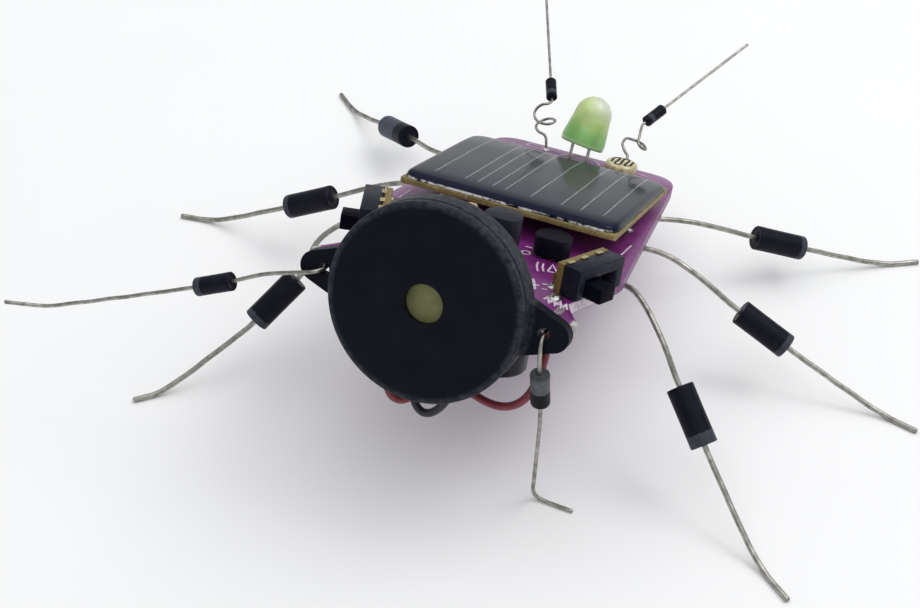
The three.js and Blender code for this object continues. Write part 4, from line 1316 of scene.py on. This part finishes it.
HORIZON = 0.42  # brightness of the surround at the horizon
SKY = 0.48  # and above it
SKY_RISE = (0.035, 0.125)  # heights between which one becomes the other, as sines of the elevation
SKY_COLOUR = (0.96, 0.98, 1, 1)


def make_floor():
    f = Finish("pale_floor", Roughness=0.9, Specular_IOR_Level=0.1)
    f.colour(f.clouds(60, 3, (0.93, 0.93, 0.93), (0.95, 0.95, 0.95)))
    bm = bmesh.new()
    reach = FLOOR_REACH
    corners = ((-reach, -reach), (reach, -reach), (reach, reach), (-reach, reach))
    bm.faces.new([bm.verts.new((x, y, 0)) for x, y in corners])
    floor = linked("floor", bm)
    give(floor.data, f.material)
    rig.stage(floor)


def make_stage():
    """A seamless pale floor and a soft, nearly white surround, a little darker at the horizon."""
    make_floor()
    world = bpy.data.worlds.new("surround")
    world.use_nodes = True
    tree = world.node_tree
    up = tree.nodes.new("ShaderNodeSeparateXYZ")
    tree.links.new(tree.nodes.new("ShaderNodeTexCoord").outputs["Generated"], up.inputs[0])
    ramp = tree.nodes.new("ShaderNodeMapRange")
    tree.links.new(up.outputs["Z"], ramp.inputs["Value"])
    ramp.interpolation_type = "SMOOTHSTEP"
    for name, value in zip(("From Min", "From Max", "To Min", "To Max"), (*SKY_RISE, HORIZON, SKY)):
        ramp.inputs[name].default_value = value
    background = tree.nodes["Background"]
    background.inputs["Color"].default_value = SKY_COLOUR
    tree.links.new(ramp.outputs["Result"], background.inputs["Strength"])
    bpy.context.scene.world = world
    make_light("overhead", (0.05, 0.05, 0.9), 1.7, 7.5)
    make_light("key", (0.3, 0.25, 0.6), 0.3, 0.9)
    bpy.context.scene.view_settings.view_transform = "Standard"



def main():
    make_camera()
    plain = {name: mottled(name, *values) for name, values in MOTTLED.items()}
    for tint, exit_hole, route in (("red", RED_EXIT, RED_ROUTE), ("black", BLACK_EXIT, BLACK_ROUTE)):
        insulation = f"{tint}_insulation"
        lead = f"buzzer_{tint}_lead"
        make_cord(lead, f"buzzer_wire_{tint}", exit_hole, route, plain[insulation], insulation)

    tin = finish_tin()
    solder = plain["solder"]
    dark = moulded("dark_plastic", (0.004, 0.0045, 0.009), (0.007, 0.008, 0.014), 0.45, 0.1)
    knob = moulded("knob_plastic", (0.0018, 0.002, 0.0048), (0.0034, 0.0038, 0.0085), 0.45, 0.03)
    slate = moulded("slate_shell", (0.009, 0.01, 0.019), (0.016, 0.018, 0.031), 0.42, 0.12)
    epoxy = moulded("transistor_epoxy", (0.014, 0.016, 0.024), (0.022, 0.025, 0.035), 0.5, 0.15)

    make_limbs(tin)
    make_board(solder, plain["board_ink"])
    refined("solar_panel_base", "panel_base", finish_substrate(), 0.06, "panel_substrate")
    make_resin(finish_resin())
    refined("solar_panel_pad", "panel_foam", finish_foam(), 0.2, "foam_tape")
    for side in SIDES:
        wire_piece(f"solar_wire_{side}", solder, "solar_panel_base")
    make_case(finish_buzzer())
    give(NODES["buzzer_brass_disc"].data, plain["disc_brass"])
    give(NODES["buzzer_back_cover"].data, dark)
    give(NODES["buzzer_ceramic_disc"].data, finish_ceramic())
    make_led(finish_led(), tin)
    for lead in ("anode", "cathode"):
        wire_piece(f"led_{lead}_wire", solder, "led_lens")
    make_sensor(plain["sensor_ceramic"], dark)
    for lead in ("a", "b"):
        wire_piece(f"light_sensor_wire_{lead}", solder, "light_sensor")
    for side in SIDES:
        make_switch(side, slate, plain["phenolic"], knob, plain["terminal_brass"])
    make_capacitor(finish_sleeve(), solder)
    refined("front_transistor", "front_transistor_body", epoxy, 0.12, "transistor_plastic")
    # painted shade: the side transistor takes the darker dark_plastic, not the transistor epoxy, because it sits in
    # the panel's shadow
    refined("side_transistor", "side_transistor_body", dark, 0.12, "transistor_plastic")
    make_resistor(tin)
    make_stage()


main()
with open("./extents.json", "w") as out:
    json.dump({"cad": cad_box, "visual": [list(corner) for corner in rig.bounds()]}, out)
